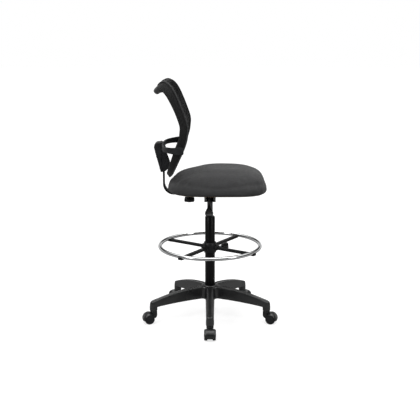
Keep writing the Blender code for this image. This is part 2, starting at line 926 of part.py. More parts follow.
def back_bar():
    side_on = (math.pi / 2, 0, math.pi / 2)
    as_mesh(plate("back_bar", POWDER, bar_outline(), BAR_WIDTH, rotation=side_on))
    under = BAR_Z - BAR_THICK / 2
    floor = under - 0.0030
    inside = BAR_WIDTH / 2 + RUN
    half = inside + STEEL
    top, roof = PLATE_BOTTOM - FIT, BAR_Z + BAR_THICK / 2 + RUN
    length = BRACKET_REAR - BRACKET_FRONT
    middle = (BRACKET_REAR + BRACKET_FRONT) / 2
    bracket = block(
        "bar_bracket",
        POWDER,
        (2 * half, length, top - floor + STEEL),
        location=(0, middle, (top + floor - STEEL) / 2),
    )
    flange = block(
        "bracket_flange",
        POWDER,
        (2 * half + 0.020, length, STEEL),
        location=(0, middle, top - STEEL / 2),
    )
    join(bracket, flange)
    for label, low, high in (("bar_way", floor, roof), ("spacer", roof + STEEL, top - 1.2 * STEEL)):
        opening = block(
            label,
            POWDER,
            (2 * inside, length + 0.01, high - low),
            location=(0, middle, (low + high) / 2),
        )
        cut(bracket, opening)
    hole = turned(
        "knob_hole",
        POWDER,
        bar_profile(KNOB_SCREW_R + RUN, floor - 0.01, floor + 0.002),
        steps=12,
        location=(0, BAR_KNOB_Y, 0),
    )
    cut(bracket, hole)
    pad_low = under - FIT - 0.0020
    turned(
        "bar_clamp_pad",
        ACETAL,
        bar_profile(KNOB_SCREW_R, pad_low, under - FIT),
        steps=12,
        location=(0, BAR_KNOB_Y, 0),
    )
    hand_knob(
        "bar_clamp_knob",
        lobed_outline(BAR_KNOB_R, 6, 0.003, 36),
        0.020,
        0.0145,
        0.0375,
        location=(0, BAR_KNOB_Y, pad_low - FIT),
        rotation=(math.pi, 0, 0),
    )


# ---------------------------------------------------------------- seat


def seat_ring(front, rear, side, z, count=40):
    """A level outline of the seat, drawn in at its front, rear and sides: rounder at the back corners."""
    half_x = SEAT_HALF_WIDTH - side
    middle = (SEAT_REAR - rear + SEAT_FRONT + front) / 2
    half_y = SEAT_REAR - rear - middle
    points = []
    for i in range(count):
        a = math.tau * i / count
        c, s = math.cos(a), math.sin(a)
        power = 2 / 4.2 if s < 0 else 2 / 3.2
        x = half_x * math.copysign(abs(c) ** power, c)
        y = middle + half_y * math.copysign(abs(s) ** power, s)
        points.append((x, y, z))
    return points


def seat_rings():
    """The cushion's skin from its lower edge to its crown."""
    rise = SEAT_CROWN - SEAT_BASE
    return [seat_ring(front, rear, side, SEAT_BASE + rise * h) for h, front, rear, side in SEAT_ROWS]


def seat():
    board_low = PLATE_BOTTOM + PLATE_THICK + FIT
    outline = [(x, y) for x, y, _ in seat_ring(BOARD_INSET, BOARD_INSET, BOARD_INSET, 0, 32)]
    board = as_mesh(
        plate(
            "seat_board",
            PLYWOOD,
            outline,
            BOARD_THICK,
            location=(0, 0, board_low + BOARD_THICK / 2),
        )
    )
    number = 0
    for x in (-BOLT_X, BOLT_X):
        for y in (PLATE_FRONT + 0.02, PLATE_REAR - 0.02):
            number += 1
            hole = turned(
                f"board_hole_{number}",
                PLYWOOD,
                bar_profile(BOLT_R + FIT, board_low - 0.01, board_low + BOARD_THICK + 0.01),
                steps=12,
                location=(x, y, 0),
            )
            cut(board, hole)

    foam = loft("seat_foam", FOAM, seat_rings())
    shrink = foam.modifiers.new("inside_cover", "DISPLACE")
    shrink.mid_level = 0
    shrink.strength = -(COVER_THICK + RUN)
    recess = plate(
        "board_recess",
        FOAM,
        [(x, y) for x, y, _ in seat_ring(*[BOARD_INSET - RUN] * 3, 0, 32)],
        2 * BOARD_THICK,
        location=(0, 0, board_low + FIT),
    )
    cut(smooth(foam), as_mesh(recess))

    cover = loft("seat_cover", SEAT_CLOTH, seat_rings(), closed=False)
    crown = bmesh.new()
    crown.from_mesh(cover.data)
    open_edges = [e for e in crown.edges if e.is_boundary]
    top = [e for e in open_edges if e.verts[0].co.z > SEAT_BASE + 0.01]
    bmesh.ops.contextual_create(crown, geom=top)
    bmesh.ops.recalc_face_normals(crown, faces=crown.faces)
    crown.to_mesh(cover.data)
    crown.free()
    skin = cover.modifiers.new("cloth", "SOLIDIFY")
    skin.thickness = COVER_THICK
    skin.offset = -1
    smooth(cover)


# ---------------------------------------------------------------- back


def frame_axes(t):
    """At t along the frame's stations: centre, depth direction, outward direction, depth, thickness."""
    x, y, z, tilt, depth, thick = through(FRAME_STATIONS, t)
    last = len(FRAME_STATIONS) - 1
    ahead = through(FRAME_STATIONS, min(t + 0.05, last))
    behind = through(FRAME_STATIONS, max(t - 0.05, 0))
    along = (Vector(ahead[:3]) - Vector(behind[:3])).normalized()
    if t in (0, last):
        along = Vector((math.copysign(1, along.x), 0, 0))
    tilt = math.radians(tilt)
    deep = Vector((0, math.cos(tilt), -math.sin(tilt)))
    deep = (deep - along * deep.dot(along)).normalized()
    out = along.cross(deep).normalized()
    return Vector((x, y, z)), deep, out, depth, thick


def frame_ring(t, grow, count):
    centre, deep, out, depth, thick = frame_axes(t)
    ring = []
    for i in range(count):
        a = math.tau * i / count
        c, s = math.cos(a), math.sin(a)
        along_depth = (depth / 2 + grow) * math.copysign(abs(c) ** 0.75, c)
        along_out = (thick / 2 + grow) * math.copysign(abs(s) ** 0.75, s)
        ring.append(centre + deep * along_depth + out * along_out)
    return ring


def frame_loop(name, grow=0.0, count=12, steps=26):
    """The back's closed frame: half of it as a loft, mirrored."""
    last = len(FRAME_STATIONS) - 1
    rings = [frame_ring(last * i / steps, grow, count) for i in range(steps + 1)]
    for ring in (rings[0], rings[-1]):
        for point in ring:
            point.x = 0
    obj = loft(name, MOULDED, rings, closed=False)
    mirror = obj.modifiers.new("mirror", "MIRROR")
    mirror.use_axis[0] = True
    mirror.merge_threshold = 0.0001
    return obj


def mesh_edge(t):
    """Where the mesh panel's edge lies: inside the frame, near its front."""
    centre, deep, out, depth, thick = frame_axes(t)
    return centre - deep * (depth / 2 - 0.007) - out * (thick / 2 + 0.0012)


def mesh_panel():
    """The stretched panel: a patch between the frame's four sides, pulled back in its middle."""
    across, down = 14, 14
    last = len(FRAME_STATIONS) - 1
    body = bmesh.new()
    rows = []
    mirror = Vector((-1, 1, 1))
    top_corner, low_corner = mesh_edge(FRAME_TOP_CORNER), mesh_edge(FRAME_LOW_CORNER)
    for j in range(down + 1):
        v = j / down
        side = mesh_edge(FRAME_TOP_CORNER + (FRAME_LOW_CORNER - FRAME_TOP_CORNER) * v)
        row = []
        for i in range(across + 1):
            u = 2 * i / across - 1
            flip = mirror if u < 0 else Vector((1, 1, 1))
            top = mesh_edge(FRAME_TOP_CORNER * abs(u)) * flip
            low = mesh_edge(last - (last - FRAME_LOW_CORNER) * abs(u)) * flip
            rail = top * (1 - v) + low * v
            w = (u + 1) / 2
            rims = side * mirror * (1 - w) + side * w
            near = (top_corner * mirror) * (1 - w) + top_corner * w
            far = (low_corner * mirror) * (1 - w) + low_corner * w
            point = rail + rims - near * (1 - v) - far * v
            point.y += MESH_BULGE * math.cos(u * math.pi / 2) * math.sin(v * math.pi)
            row.append(body.verts.new(point))
        rows.append(row)
    for high, low in zip(rows, rows[1:]):
        for i in range(across):
            body.faces.new((high[i], high[i + 1], low[i + 1], low[i]))
    bmesh.ops.recalc_face_normals(body, faces=body.faces)
    mesh = bpy.data.meshes.new("back_mesh")
    body.to_mesh(mesh)
    body.free()
    panel = place(bpy.data.objects.new("back_mesh", mesh), MESH_CLOTH)
    skin = panel.modifiers.new("cloth", "SOLIDIFY")
    skin.thickness = MESH_THICK
    skin.offset = 0


def bracket_arm(name, side):
    """One arm of the bracket, from the spine round to the outside of the rim."""
    rings = []
    count = 12
    last = len(ARM_STATIONS) - 1
    for i in range(count):
        t = last * i / (count - 1)
        x, y, height = through(ARM_STATIONS, t)
        ahead = through(ARM_STATIONS, min(t + 0.05, last))
        behind = through(ARM_STATIONS, max(t - 0.05, 0))
        along = Vector((ahead[0] - behind[0], ahead[1] - behind[1], 0)).normalized()
        out = Vector((-along.y, along.x, 0))
        half, thick = height / 2, BACK_ARM_THICK / 2
        section = [(thick, -half + 0.002), (thick, half - 0.002), (thick - 0.002, half)]
        section += [(-thick + 0.002, half), (-thick, half - 0.002), (-thick, -half + 0.002)]
        section += [(-thick + 0.002, -half), (thick - 0.002, -half)]
        centre = Vector((x, y, BACK_ARM_Z))
        ring = [centre + out * s + Vector((0, 0, h)) for s, h in section]
        rings.append([Vector((side * p.x, p.y, p.z)) for p in ring])
    return loft(name, MOULDED, rings)


def back():
    side_on = (math.pi / 2, 0, math.pi / 2)
    smooth(frame_loop("back_frame"))
    mesh_panel()

    front_profile = [
        (SPINE_SPLIT, SPINE_BOTTOM),
        (SPINE_SPLIT, SPINE_TOP - 0.002),
        (0.228, SPINE_TOP - 0.006),
        (0.2165, 0.870),
        (0.2125, 0.840),
        (0.2000, 0.806),
        (0.1960, 0.782),
        (0.2160, 0.764),
    ]
    bracket = as_mesh(
        plate("back_bracket", MOULDED, front_profile, 2 * SPINE_HALF, rotation=side_on)
    )
    join(bracket, bracket_arm("arm_left", 1), bracket_arm("arm_right", -1))
    slot = block(
        "bar_slot",
        MOULDED,
        (BAR_WIDTH + 2 * RUN, SPINE_SPLIT - BAR_Y + BAR_THICK / 2 + RUN + 0.01, 0.12),
        location=(
            0,
            (SPINE_SPLIT + 0.01 + BAR_Y - BAR_THICK / 2 - RUN) / 2,
            BAR_TOP + 0.004 - 0.06,
        ),
    )
    cut(bracket, slot, frame_loop("frame_seat", grow=0.0005, count=12, steps=26))

    rear_profile = [
        (SPINE_SPLIT + FIT, SPINE_BOTTOM),
        (0.2410, SPINE_BOTTOM),
        (0.2660, 0.850),
        (0.2730, 0.881),
        (0.2700, 0.893),
        (0.2620, 0.901),
        (SPINE_SPLIT + FIT, SPINE_TOP),
    ]
    cover = as_mesh(plate("spine_cover", MOULDED, rear_profile, 2 * SPINE_HALF, rotation=side_on))
    hollow = block(
        "cover_hollow",
        MOULDED,
        (2 * SPINE_HALF - 0.010, 0.020, 0.050),
        location=(0, SPINE_SPLIT, SPINE_TOP - 0.045),
    )
    cut(cover, hollow)


base_spider()
casters()
column()
ring_collar()
ring_spokes()
foot_ring()
ring_clamp()
seat_mechanism()
lever()
back_bar()
seat()
back()
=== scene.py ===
import math

import bmesh
import bpy
from mathutils import Matrix, Vector


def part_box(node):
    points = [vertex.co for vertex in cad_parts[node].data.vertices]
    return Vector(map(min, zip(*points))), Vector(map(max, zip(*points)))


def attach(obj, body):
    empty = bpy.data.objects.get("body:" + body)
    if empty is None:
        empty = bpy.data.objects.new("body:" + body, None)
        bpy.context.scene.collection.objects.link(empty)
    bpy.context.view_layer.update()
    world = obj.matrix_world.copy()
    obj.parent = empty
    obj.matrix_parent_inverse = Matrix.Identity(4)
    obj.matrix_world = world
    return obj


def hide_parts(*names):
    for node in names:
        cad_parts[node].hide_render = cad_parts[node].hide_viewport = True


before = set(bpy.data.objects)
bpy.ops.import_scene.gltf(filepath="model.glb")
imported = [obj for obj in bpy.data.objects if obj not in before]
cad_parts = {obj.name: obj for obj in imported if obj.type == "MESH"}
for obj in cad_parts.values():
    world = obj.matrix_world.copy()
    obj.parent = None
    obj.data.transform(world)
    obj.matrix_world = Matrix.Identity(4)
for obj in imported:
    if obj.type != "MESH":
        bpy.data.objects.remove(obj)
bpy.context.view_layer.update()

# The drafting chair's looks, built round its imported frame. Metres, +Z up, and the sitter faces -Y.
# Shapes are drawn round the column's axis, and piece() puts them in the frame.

LOW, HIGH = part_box("column_tube")
COLUMN = Vector(((LOW.x + HIGH.x) / 2, (LOW.y + HIGH.y) / 2, 0))
TUBE_R, TUBE_BOTTOM, TUBE_TOP = (HIGH.x - LOW.x) / 2, LOW.z, HIGH.z
ARMS = 5
ARM_STEP = math.tau / ARMS
FIRST_ARM = math.pi
STEM_CIRCLE = 0.298  # the casters' stems, from the column's axis


# ---------------------------------------------------------------- shapes: (points, faces)


def polar(radius, angle, z=0.0):
    return Vector((radius * math.cos(angle), radius * math.sin(angle), z))


def through(stations, t):
    """The values at t along rows of control values, on a smooth curve through all of them."""
    last = len(stations) - 1
    i = min(int(t), last - 1)
    f = t - i
    rows = [stations[min(max(k, 0), last)] for k in (i - 1, i, i + 1, i + 2)]
    return [
        b + 0.5 * f * (c - a + f * (2 * a - 5 * b + 4 * c - d + f * (3 * (b - c) + d - a)))
        for a, b, c, d in zip(*rows)
    ]


def smooth_line(points, steps):
    """A smooth curve of that many steps through the points."""
    last = len(points) - 1
    return [Vector(through(points, last * i / steps)) for i in range(steps + 1)]


def loft(rings, cap=True, round_again=False):
    """A skin over rings of points, closed at both ends, left open, or joined end to start."""
    count = len(rings[0])
    points = [Vector(p) for ring in rings for p in ring]
    faces = []
    for k in range(len(rings) if round_again else len(rings) - 1):
        low, high = k * count, (k + 1) % len(rings) * count
        for i in range(count):
            j = (i + 1) % count
            faces.append((low + i, low + j, high + j, high + i))
    if cap and not round_again:
        faces.append(tuple(range(count)))
        faces.append(tuple((len(rings) - 1) * count + i for i in range(count)))
    return points, faces


def turned(profile, steps=48, closed=False):
    """A turned shape: profile is (radius, height), from one pole to the other, or closed on itself."""
    rings = [[polar(r, math.tau * i / steps, z) for i in range(steps)] for r, z in profile]
    return loft(rings, cap=False, round_again=closed)


def extruded(outline, thickness):
    """A flat outline in x and y, extruded by half its thickness to each side."""
    half = thickness / 2
    return loft([[(x, y, -half) for x, y in outline], [(x, y, half) for x, y in outline]])


def block(size, centre=(0, 0, 0)):
    (a, b, c), (x, y, z) = (s / 2 for s in size), centre
    outline = [(-a, -b), (a, -b), (a, b), (-a, b)]
    return moved(extruded(outline, 2 * c), Matrix.Translation((x, y, z)))


def moved(shape, matrix):
    return [matrix @ p for p in shape[0]], shape[1]


def turn(angle, axis="Z"):
    return Matrix.Rotation(angle, 4, axis)


def shift(*place):
    return Matrix.Translation(Vector(place))


def sweep(path, section, up=Vector((0, 0, 1))):
    """A section of (side, up) points carried along a path, with caps."""
    rings = []
    for i, point in enumerate(path):
        along = (path[min(i + 1, len(path) - 1)] - path[max(i - 1, 0)]).normalized()
        side = along.cross(up).normalized()
        over = side.cross(along)
        rings.append([point + side * s + over * h for s, h in section])
    return loft(rings)


def cord_round(line, radius):
    """A round cord of eight sides along a line that closes on itself."""
    rings = []
    for i, point in enumerate(line):
        along = (line[(i + 1) % len(line)] - line[i - 1]).normalized()
        side = along.cross(Vector((0, 1, 0))).normalized()
        over = side.cross(along)
        rings.append([point + side * s + over * h for s, h in round_bar(radius, 8)])
    return loft(rings, round_again=True)


def rounded_bar(width, height, corner, steps=4):
    """The section of a flat bar with rounded edges."""
    points = []
    for k, (sx, sy) in enumerate(((1, 1), (-1, 1), (-1, -1), (1, -1))):
        for i in range(steps + 1):
            a = math.pi / 2 * (k + i / steps)
            x = sx * (width / 2 - corner) + corner * math.cos(a)
            points.append((x, sy * (height / 2 - corner) + corner * math.sin(a)))
    return points


def round_bar(radius, steps=16):
    return [(radius * math.cos(math.tau * i / steps), radius * math.sin(math.tau * i / steps))
            for i in range(steps)]


def arc(centre, radius, start, end, count):
    """Points on an arc, with the angles in degrees."""
    angles = [math.radians(start + (end - start) * i / (count - 1)) for i in range(count)]
    return [(centre[0] + radius * math.cos(a), centre[1] + radius * math.sin(a)) for a in angles]


def blend_in(t):
    t = min(max(t, 0), 1)
    return t * t * (3 - 2 * t)


# ---------------------------------------------------------------- pieces

WELD = 0.000002
BEVELLED_FROM, SHARP_FROM = math.radians(38), math.radians(48)


def in_scene(name, data):
    """A new object for a mesh, lamp or camera."""
    obj = bpy.data.objects.new(name, data)
    bpy.context.scene.collection.objects.link(obj)
    return obj


def plain(obj):
    """The object's mesh as its modifiers leave it."""
    bpy.context.view_layer.update()
    graph = bpy.context.evaluated_depsgraph_get()
    return bpy.data.meshes.new_from_object(obj.evaluated_get(graph))


def settle(obj):
    """Applies the object's modifiers, so that none is left on it."""
    mesh = plain(obj)
    obj.modifiers.clear()
    obj.data = mesh
    return mesh


def piece(name, body, slot, shapes, nodes=(), bevel=0.0, segments=3, wall=0.0, weave=None):
    """A visible piece: its shapes merged into one mesh, its normals outward, riding on its body."""
    skin = bmesh.new()
    cloth = skin.verts.layers.float_vector.new("weave") if weave else None
    number = 0
    for points, faces in shapes:
        made = [skin.verts.new(p) for p in points]
        for vert in made:
            if cloth:
                vert[cloth] = weave[number]
            number += 1
        for face in faces:
            skin.faces.new([made[i] for i in face])
    bmesh.ops.remove_doubles(skin, verts=skin.verts, dist=WELD)
    bmesh.ops.dissolve_degenerate(skin, edges=skin.edges, dist=WELD)
    bmesh.ops.recalc_face_normals(skin, faces=skin.faces)
    bmesh.ops.translate(skin, verts=skin.verts, vec=COLUMN)
    mesh = bpy.data.meshes.new(name)
    skin.to_mesh(mesh)
    skin.free()
    mesh.shade_smooth()
    obj = in_scene(name, mesh)
    if wall:
        shell = obj.modifiers.new("wall", "SOLIDIFY")
        shell.thickness = wall
        shell.offset = -1
    if bevel:
        edges = obj.modifiers.new("rounded_edges", "BEVEL")
        edges.width = bevel
        edges.segments = segments
        edges.limit_method = "ANGLE"
        edges.angle_limit = BEVELLED_FROM
        edges.harden_normals = True
    else:
        mesh.set_sharp_from_angle(angle=SHARP_FROM)
    return finished(obj, body, slot, nodes)


def finished(obj, body, slot, nodes=()):
    obj.data.materials.clear()
    obj.data.materials.append(FINISHES[slot])
    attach(obj, body)
    if nodes:
        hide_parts(*nodes)
    return obj


# ---------------------------------------------------------------- finishes


def linear(colour):
    """An sRGB hex colour as linear light."""
    parts = [int(colour[i : i + 2], 16) / 255 for i in (1, 3, 5)]
    return [p / 12.92 if p <= 0.04045 else ((p + 0.055) / 1.055) ** 2.4 for p in parts] + [1.0]


def add(tree, kind, inputs=None, **settings):
    """Adds a node; each of its inputs takes a value, or an output to be linked from."""
    node = tree.nodes.new(kind)
    for name, value in settings.items():
        setattr(node, name, value)
    for name, value in (inputs or {}).items():
        if isinstance(value, bpy.types.NodeSocket):
            tree.links.new(value, node.inputs[name])
        else:
            node.inputs[name].default_value = value
    return node


def new_finish(name, **values):
    """A material with these values on its shader's own sockets."""
    made = bpy.data.materials.new(name)
    made.use_nodes = True
    shader = made.node_tree.nodes["Principled BSDF"]
    for socket, value in values.items():
        shader.inputs[socket.replace("_", " ")].default_value = value
    return made, made.node_tree, shader


def mixed(tree, factor, dark, light):
    """A colour between two others by a factor that varies over the surface."""
    mix = add(tree, "ShaderNodeMix", {0: factor, 6: linear(dark), 7: linear(light)}, data_type="RGBA")
    return mix.outputs[2]


def ranged(tree, value, low, high, start=0.3, end=0.7):
    inputs = {"Value": value, "From Min": start, "From Max": end, "To Min": low, "To Max": high}
    return add(tree, "ShaderNodeMapRange", inputs).outputs["Result"]


def grained(name, dark, light, rough, grain, depth, cloud=0.035, stretch=(1, 1, 1), **values):
    """Moulded, painted or plated: clouds of colour and gloss over a fine grain, with sizes in metres.
    rough is the lowest and highest roughness, and stretch draws the pattern out along an axis."""
    if "Metallic" not in values:
        # Matt blacks: their fine texture scatters most of the gloss.
        values.setdefault("Specular_IOR_Level", 0.22)
    made, tree, shader = new_finish(name, **values)
    place = add(tree, "ShaderNodeTexCoord").outputs["Object"]
    place = add(tree, "ShaderNodeMapping", {"Vector": place, "Scale": stretch}).outputs["Vector"]
    clouds = add(tree, "ShaderNodeTexNoise", {"Vector": place, "Scale": 1 / cloud, "Detail": 5.0})
    specks = add(tree, "ShaderNodeTexNoise", {"Vector": place, "Scale": 0.35 / grain, "Detail": 3.0})
    tone = add(tree, "ShaderNodeMath", {0: clouds.outputs["Fac"], 1: specks.outputs["Fac"]})
    tone = ranged(tree, tone.outputs[0], 0, 1, 0.7, 1.3)
    tree.links.new(mixed(tree, tone, dark, light), shader.inputs["Base Color"])
    gloss = ranged(tree, clouds.outputs["Fac"], rough[0], rough[1])
    tree.links.new(gloss, shader.inputs["Roughness"])
    texture = add(tree, "ShaderNodeTexNoise", {"Vector": place, "Scale": 1 / grain, "Detail": 2.0})
    bump = add(tree, "ShaderNodeBump", {"Height": texture.outputs["Fac"], "Distance": depth})
    tree.links.new(bump.outputs["Normal"], shader.inputs["Normal"])
    return made


FINISHES = {
    # Glass-filled nylon, injection moulded in a spark-eroded tool: black, satin, with faint flow clouds.
    "base_nylon": grained(
        "glass_filled_nylon_moulded", "#090a0a", "#131415", (0.26, 0.36), 0.0011, 0.00004, IOR=1.53,
        Specular_IOR_Level=0.75,
    ),
    # The casters' hoods, in the same nylon out of a smoother tool: a little glossier.
    "caster_nylon": grained(
        "caster_nylon_moulded", "#0a0b0b", "#151617", (0.28, 0.38), 0.0009, 0.00003, IOR=1.53,
        Specular_IOR_Level=0.50,
    ),
    # Hard nylon treads, scuffed grey and dull by the floor.
    "wheel_nylon": grained(
        "hard_nylon_rolled", "#0f1011", "#202123", (0.42, 0.62), 0.0013, 0.00006, 0.012, IOR=1.53
    ),
    # Bright zinc plate on steel fasteners: pale, slightly blue, with a cloudy passivated bloom.
    "zinc_steel": grained(
        "zinc_plated_steel", "#8f9498", "#c3c7ca", (0.26, 0.42), 0.0008, 0.00002, 0.006, Metallic=1.0
    ),
    # Polyester powder coat baked on the column: black, with a soft orange peel of about 2 mm.
    "column_paint": grained(
        "powder_coat_on_tube", "#050505", "#0a0a0b", (0.30, 0.40), 0.0022, 0.00007, 0.05,
        IOR=1.5, Specular_IOR_Level=0.16,
    ),
    # Smooth stoved lacquer on the gas cylinder, drawn fine along its length by the grinding under it.
    "lift_paint": grained(
        "stoved_lacquer_on_cylinder", "#2e2f31", "#424346", (0.20, 0.30), 0.0007, 0.00002, 0.03,
        (1, 1, 0.15), IOR=1.5, Coat_Weight=0.35, Coat_Roughness=0.12,
    ),
    # Acetal, turned: dense black and waxy.
    "acetal": grained("acetal_turned", "#0e0f10", "#161718", (0.30, 0.38), 0.0006, 0.00001, IOR=1.48),
    # Bright chrome plate over polished tube: near mirror, with hairlines and a slight plating ripple.
    "ring_chrome": grained(
        "chrome_plate_polished", "#cbcccd", "#dadbdb", (0.05, 0.10), 0.006, 0.00001, 0.02, Metallic=1.0
    ),
    # Textured powder coat on the foot ring's spokes: black and dry.
    "spoke_paint": grained(
        "textured_powder_coat", "#090a0a", "#141516", (0.40, 0.52), 0.0015, 0.00008, IOR=1.5
    ),
    # Nylon collar, moulded with a fine leather-like tool texture.
    "collar_plastic": grained(
        "collar_nylon_moulded", "#0a0b0c", "#151617", (0.38, 0.50), 0.0014, 0.00006, IOR=1.53
    ),
    # ABS hand knobs: smooth tool, handled, so their gloss comes and goes.
    "knob_plastic": grained(
        "abs_moulded_handled", "#060607", "#0f1011", (0.26, 0.42), 0.0010, 0.00003, 0.01, IOR=1.54
    ),
    # Powder coat on pressed steel under the seat: black with orange peel, in faint clouds of tone.
    "mechanism_paint": grained(
        "powder_coat_on_pressing", "#0a0b0c", "#161719", (0.34, 0.48), 0.0020, 0.00008, 0.02, IOR=1.5
    ),
    # The same coat on the rolled flat bar, over the long lines of the rolling.
    "bar_paint": grained(
        "powder_coat_on_flat_bar", "#08090a", "#121314", (0.30, 0.44), 0.0020, 0.00007, 0.05,
        (1, 1, 0.3), IOR=1.5, Coat_Weight=0.06, Coat_Roughness=0.25,
    ),
    # Polypropylene back casing with a 1.5 mm pebble texture from its tool.
    "back_plastic": grained(
        "polypropylene_pebbled", "#141516", "#232426", (0.38, 0.52), 0.0015, 0.00011, IOR=1.49
    ),
}


def birch_plywood():
    """Rotary-cut birch plywood: a pale face with long drawn-out figure, and darker glue lines on its edge."""
    made, tree, shader = new_finish("birch_plywood_sanded", IOR=1.5)
    place = add(tree, "ShaderNodeTexCoord").outputs["Object"]
    drawn = add(tree, "ShaderNodeMapping", {"Vector": place, "Scale": (1.0, 0.08, 1.0)})
    figure = add(
        tree, "ShaderNodeTexNoise", {"Vector": drawn.outputs[0], "Scale": 90.0, "Detail": 6.0, "Distortion": 0.6}
    )
    wood = mixed(tree, ranged(tree, figure.outputs["Fac"], 0, 1), "#a9835a", "#d3b58a")
    # Glue lines every 2 mm through the board's thickness.
    plies = add(tree, "ShaderNodeTexWave", {"Vector": place, "Scale": 157.0, "Distortion": 0.3}, bands_direction="Z")
    line = ranged(tree, plies.outputs["Fac"], 0.0, 0.45, 0.75, 1.0)
    edge = add(tree, "ShaderNodeMix", {0: line, 6: wood, 7: linear("#5d4127")}, data_type="RGBA")
    tree.links.new(edge.outputs[2], shader.inputs["Base Color"])
    tree.links.new(ranged(tree, figure.outputs["Fac"], 0.55, 0.75), shader.inputs["Roughness"])
    bump = add(tree, "ShaderNodeBump", {"Height": figure.outputs["Fac"], "Distance": 0.0001})
    tree.links.new(bump.outputs["Normal"], shader.inputs["Normal"])
    return made


def woven(name, dark, light, thread, depth, rough, angle=0.0, **values):
    """Cloth whose threads follow the piece's own weave attribute, which holds metres along the cloth.
    thread is the spacing of its threads, and angle turns them on the cloth."""
    made, tree, shader = new_finish(name, **values)
    along = add(tree, "ShaderNodeAttribute", attribute_name="weave").outputs["Vector"]
    laid = add(tree, "ShaderNodeMapping", {"Vector": along, "Rotation": (0, 0, angle)}).outputs["Vector"]
    bands = math.pi / 10 / (2 * thread)
    warp = add(tree, "ShaderNodeTexWave", {"Vector": laid, "Scale": bands}, bands_direction="X")
    weft = add(tree, "ShaderNodeTexWave", {"Vector": laid, "Scale": bands}, bands_direction="Y")
    shift_warp = ranged(tree, warp.outputs["Fac"], -1, 1, 0, 1)
    shift_weft = ranged(tree, weft.outputs["Fac"], -1, 1, 0, 1)
    over = add(tree, "ShaderNodeMath", {0: shift_warp, 1: shift_weft}, operation="MULTIPLY").outputs[0]
    height = ranged(tree, over, 0, 1, -1, 1)
    # Yarns of two tones, each a few threads long, and a cloudiness over a hand's width.
    yarn = add(tree, "ShaderNodeTexNoise", {"Vector": laid, "Scale": 0.4 / thread, "Detail": 4.0})
    clouds = add(tree, "ShaderNodeTexNoise", {"Vector": laid, "Scale": 14.0, "Detail": 3.0})
    faint = ranged(tree, clouds.outputs["Fac"], 0.42, 0.58)
    tone = add(tree, "ShaderNodeMath", {0: yarn.outputs["Fac"], 1: faint}).outputs[0]
    # The weave's height added in: lighter where the threads ride over, darker in the hollows between them, as
    # painted shade.
    tone = add(tree, "ShaderNodeMath", {0: tone, 1: height}).outputs[0]
    tone = ranged(tree, tone, 0, 1, 0.9, 2.1)
    tree.links.new(mixed(tree, tone, dark, light), shader.inputs["Base Color"])
    tree.links.new(ranged(tree, height, rough[1], rough[0], 0, 1), shader.inputs["Roughness"])
    bump = add(tree, "ShaderNodeBump", {"Height": height, "Distance": depth})
    tree.links.new(bump.outputs["Normal"], shader.inputs["Normal"])
    return made


FINISHES["plywood"] = birch_plywood()
# Polyester upholstery cloth in a plain weave, charcoal, heathered: its 1 mm threads are drawn at 1.8 mm.
FINISHES["seat_cloth"] = woven(
    "polyester_upholstery_woven", "#171717", "#363637", 0.0018, 0.0005, (0.78, 0.95),
    Sheen_Weight=0.08, Sheen_Roughness=0.5, Specular_IOR_Level=0.3,
)
# The black sleeve knitted round the back's rim, pulled tight on the bias: ribs drawn at 3.6 mm.
FINISHES["frame_cloth"] = woven(
    "polyester_sleeve_knitted", "#070707", "#191919", 0.0036, 0.0010, (0.46, 0.68), 0.78,
    Sheen_Weight=0.04, Sheen_Roughness=0.45, Specular_IOR_Level=0.2,
)
# Black polyester strands of the stretched back: smooth, with a soft shine along each.
FINISHES["mesh_cloth"] = grained(
    "polyester_strands_knitted", "#040404", "#0b0b0c", (0.42, 0.60), 0.0010, 0.00004, 0.03,
    IOR=1.57, Sheen_Weight=0.03,
)
# Moulded polyurethane foam: cream, open celled.
FINISHES["foam"] = grained(
    "polyurethane_foam", "#b7a97c", "#d8cda4", (0.85, 0.95), 0.0015, 0.0006, 0.03, IOR=1.45
)


# ---------------------------------------------------------------- what repeats: Geometry Nodes


def group_tree(name, sizes):
    """A tree that takes a mesh and named sizes and gives a mesh, and the sockets that it is given them by."""
    tree = bpy.data.node_groups.new(name, "GeometryNodeTree")
    tree.interface.new_socket("Guide", in_out="INPUT", socket_type="NodeSocketGeometry")
    for label, kind in sizes.items():
        tree.interface.new_socket(label, in_out="INPUT", socket_type=kind)
    tree.interface.new_socket("Made", in_out="OUTPUT", socket_type="NodeSocketGeometry")
    return tree, add(tree, "NodeGroupInput").outputs


def close_tree(tree, made, material):
    """Ends a tree: its instances made real, its finish set."""
    real = add(tree, "GeometryNodeRealizeInstances", {"Geometry": made})
    done = add(tree, "GeometryNodeSetMaterial", {"Geometry": real.outputs[0], "Material": material})
    add(tree, "NodeGroupOutput", {0: done.outputs[0]})
    return tree


def strand_tree():
    """Round strands along the guide's lines."""
    sizes = {"Strand radius": "NodeSocketFloat", "Sides": "NodeSocketInt", "Finish": "NodeSocketMaterial"}
    tree, given = group_tree("strands_along_lines", sizes)
    lines = add(tree, "GeometryNodeMeshToCurve", {"Mesh": given["Guide"]})
    around = {"Resolution": given["Sides"], "Radius": given["Strand radius"]}
    section = add(tree, "GeometryNodeCurvePrimitiveCircle", around)
    inputs = {"Curve": lines.outputs[0], "Profile Curve": section.outputs[0], "Fill Caps": True}
    strands = add(tree, "GeometryNodeCurveToMesh", inputs)
    return close_tree(tree, strands.outputs[0], given["Finish"])


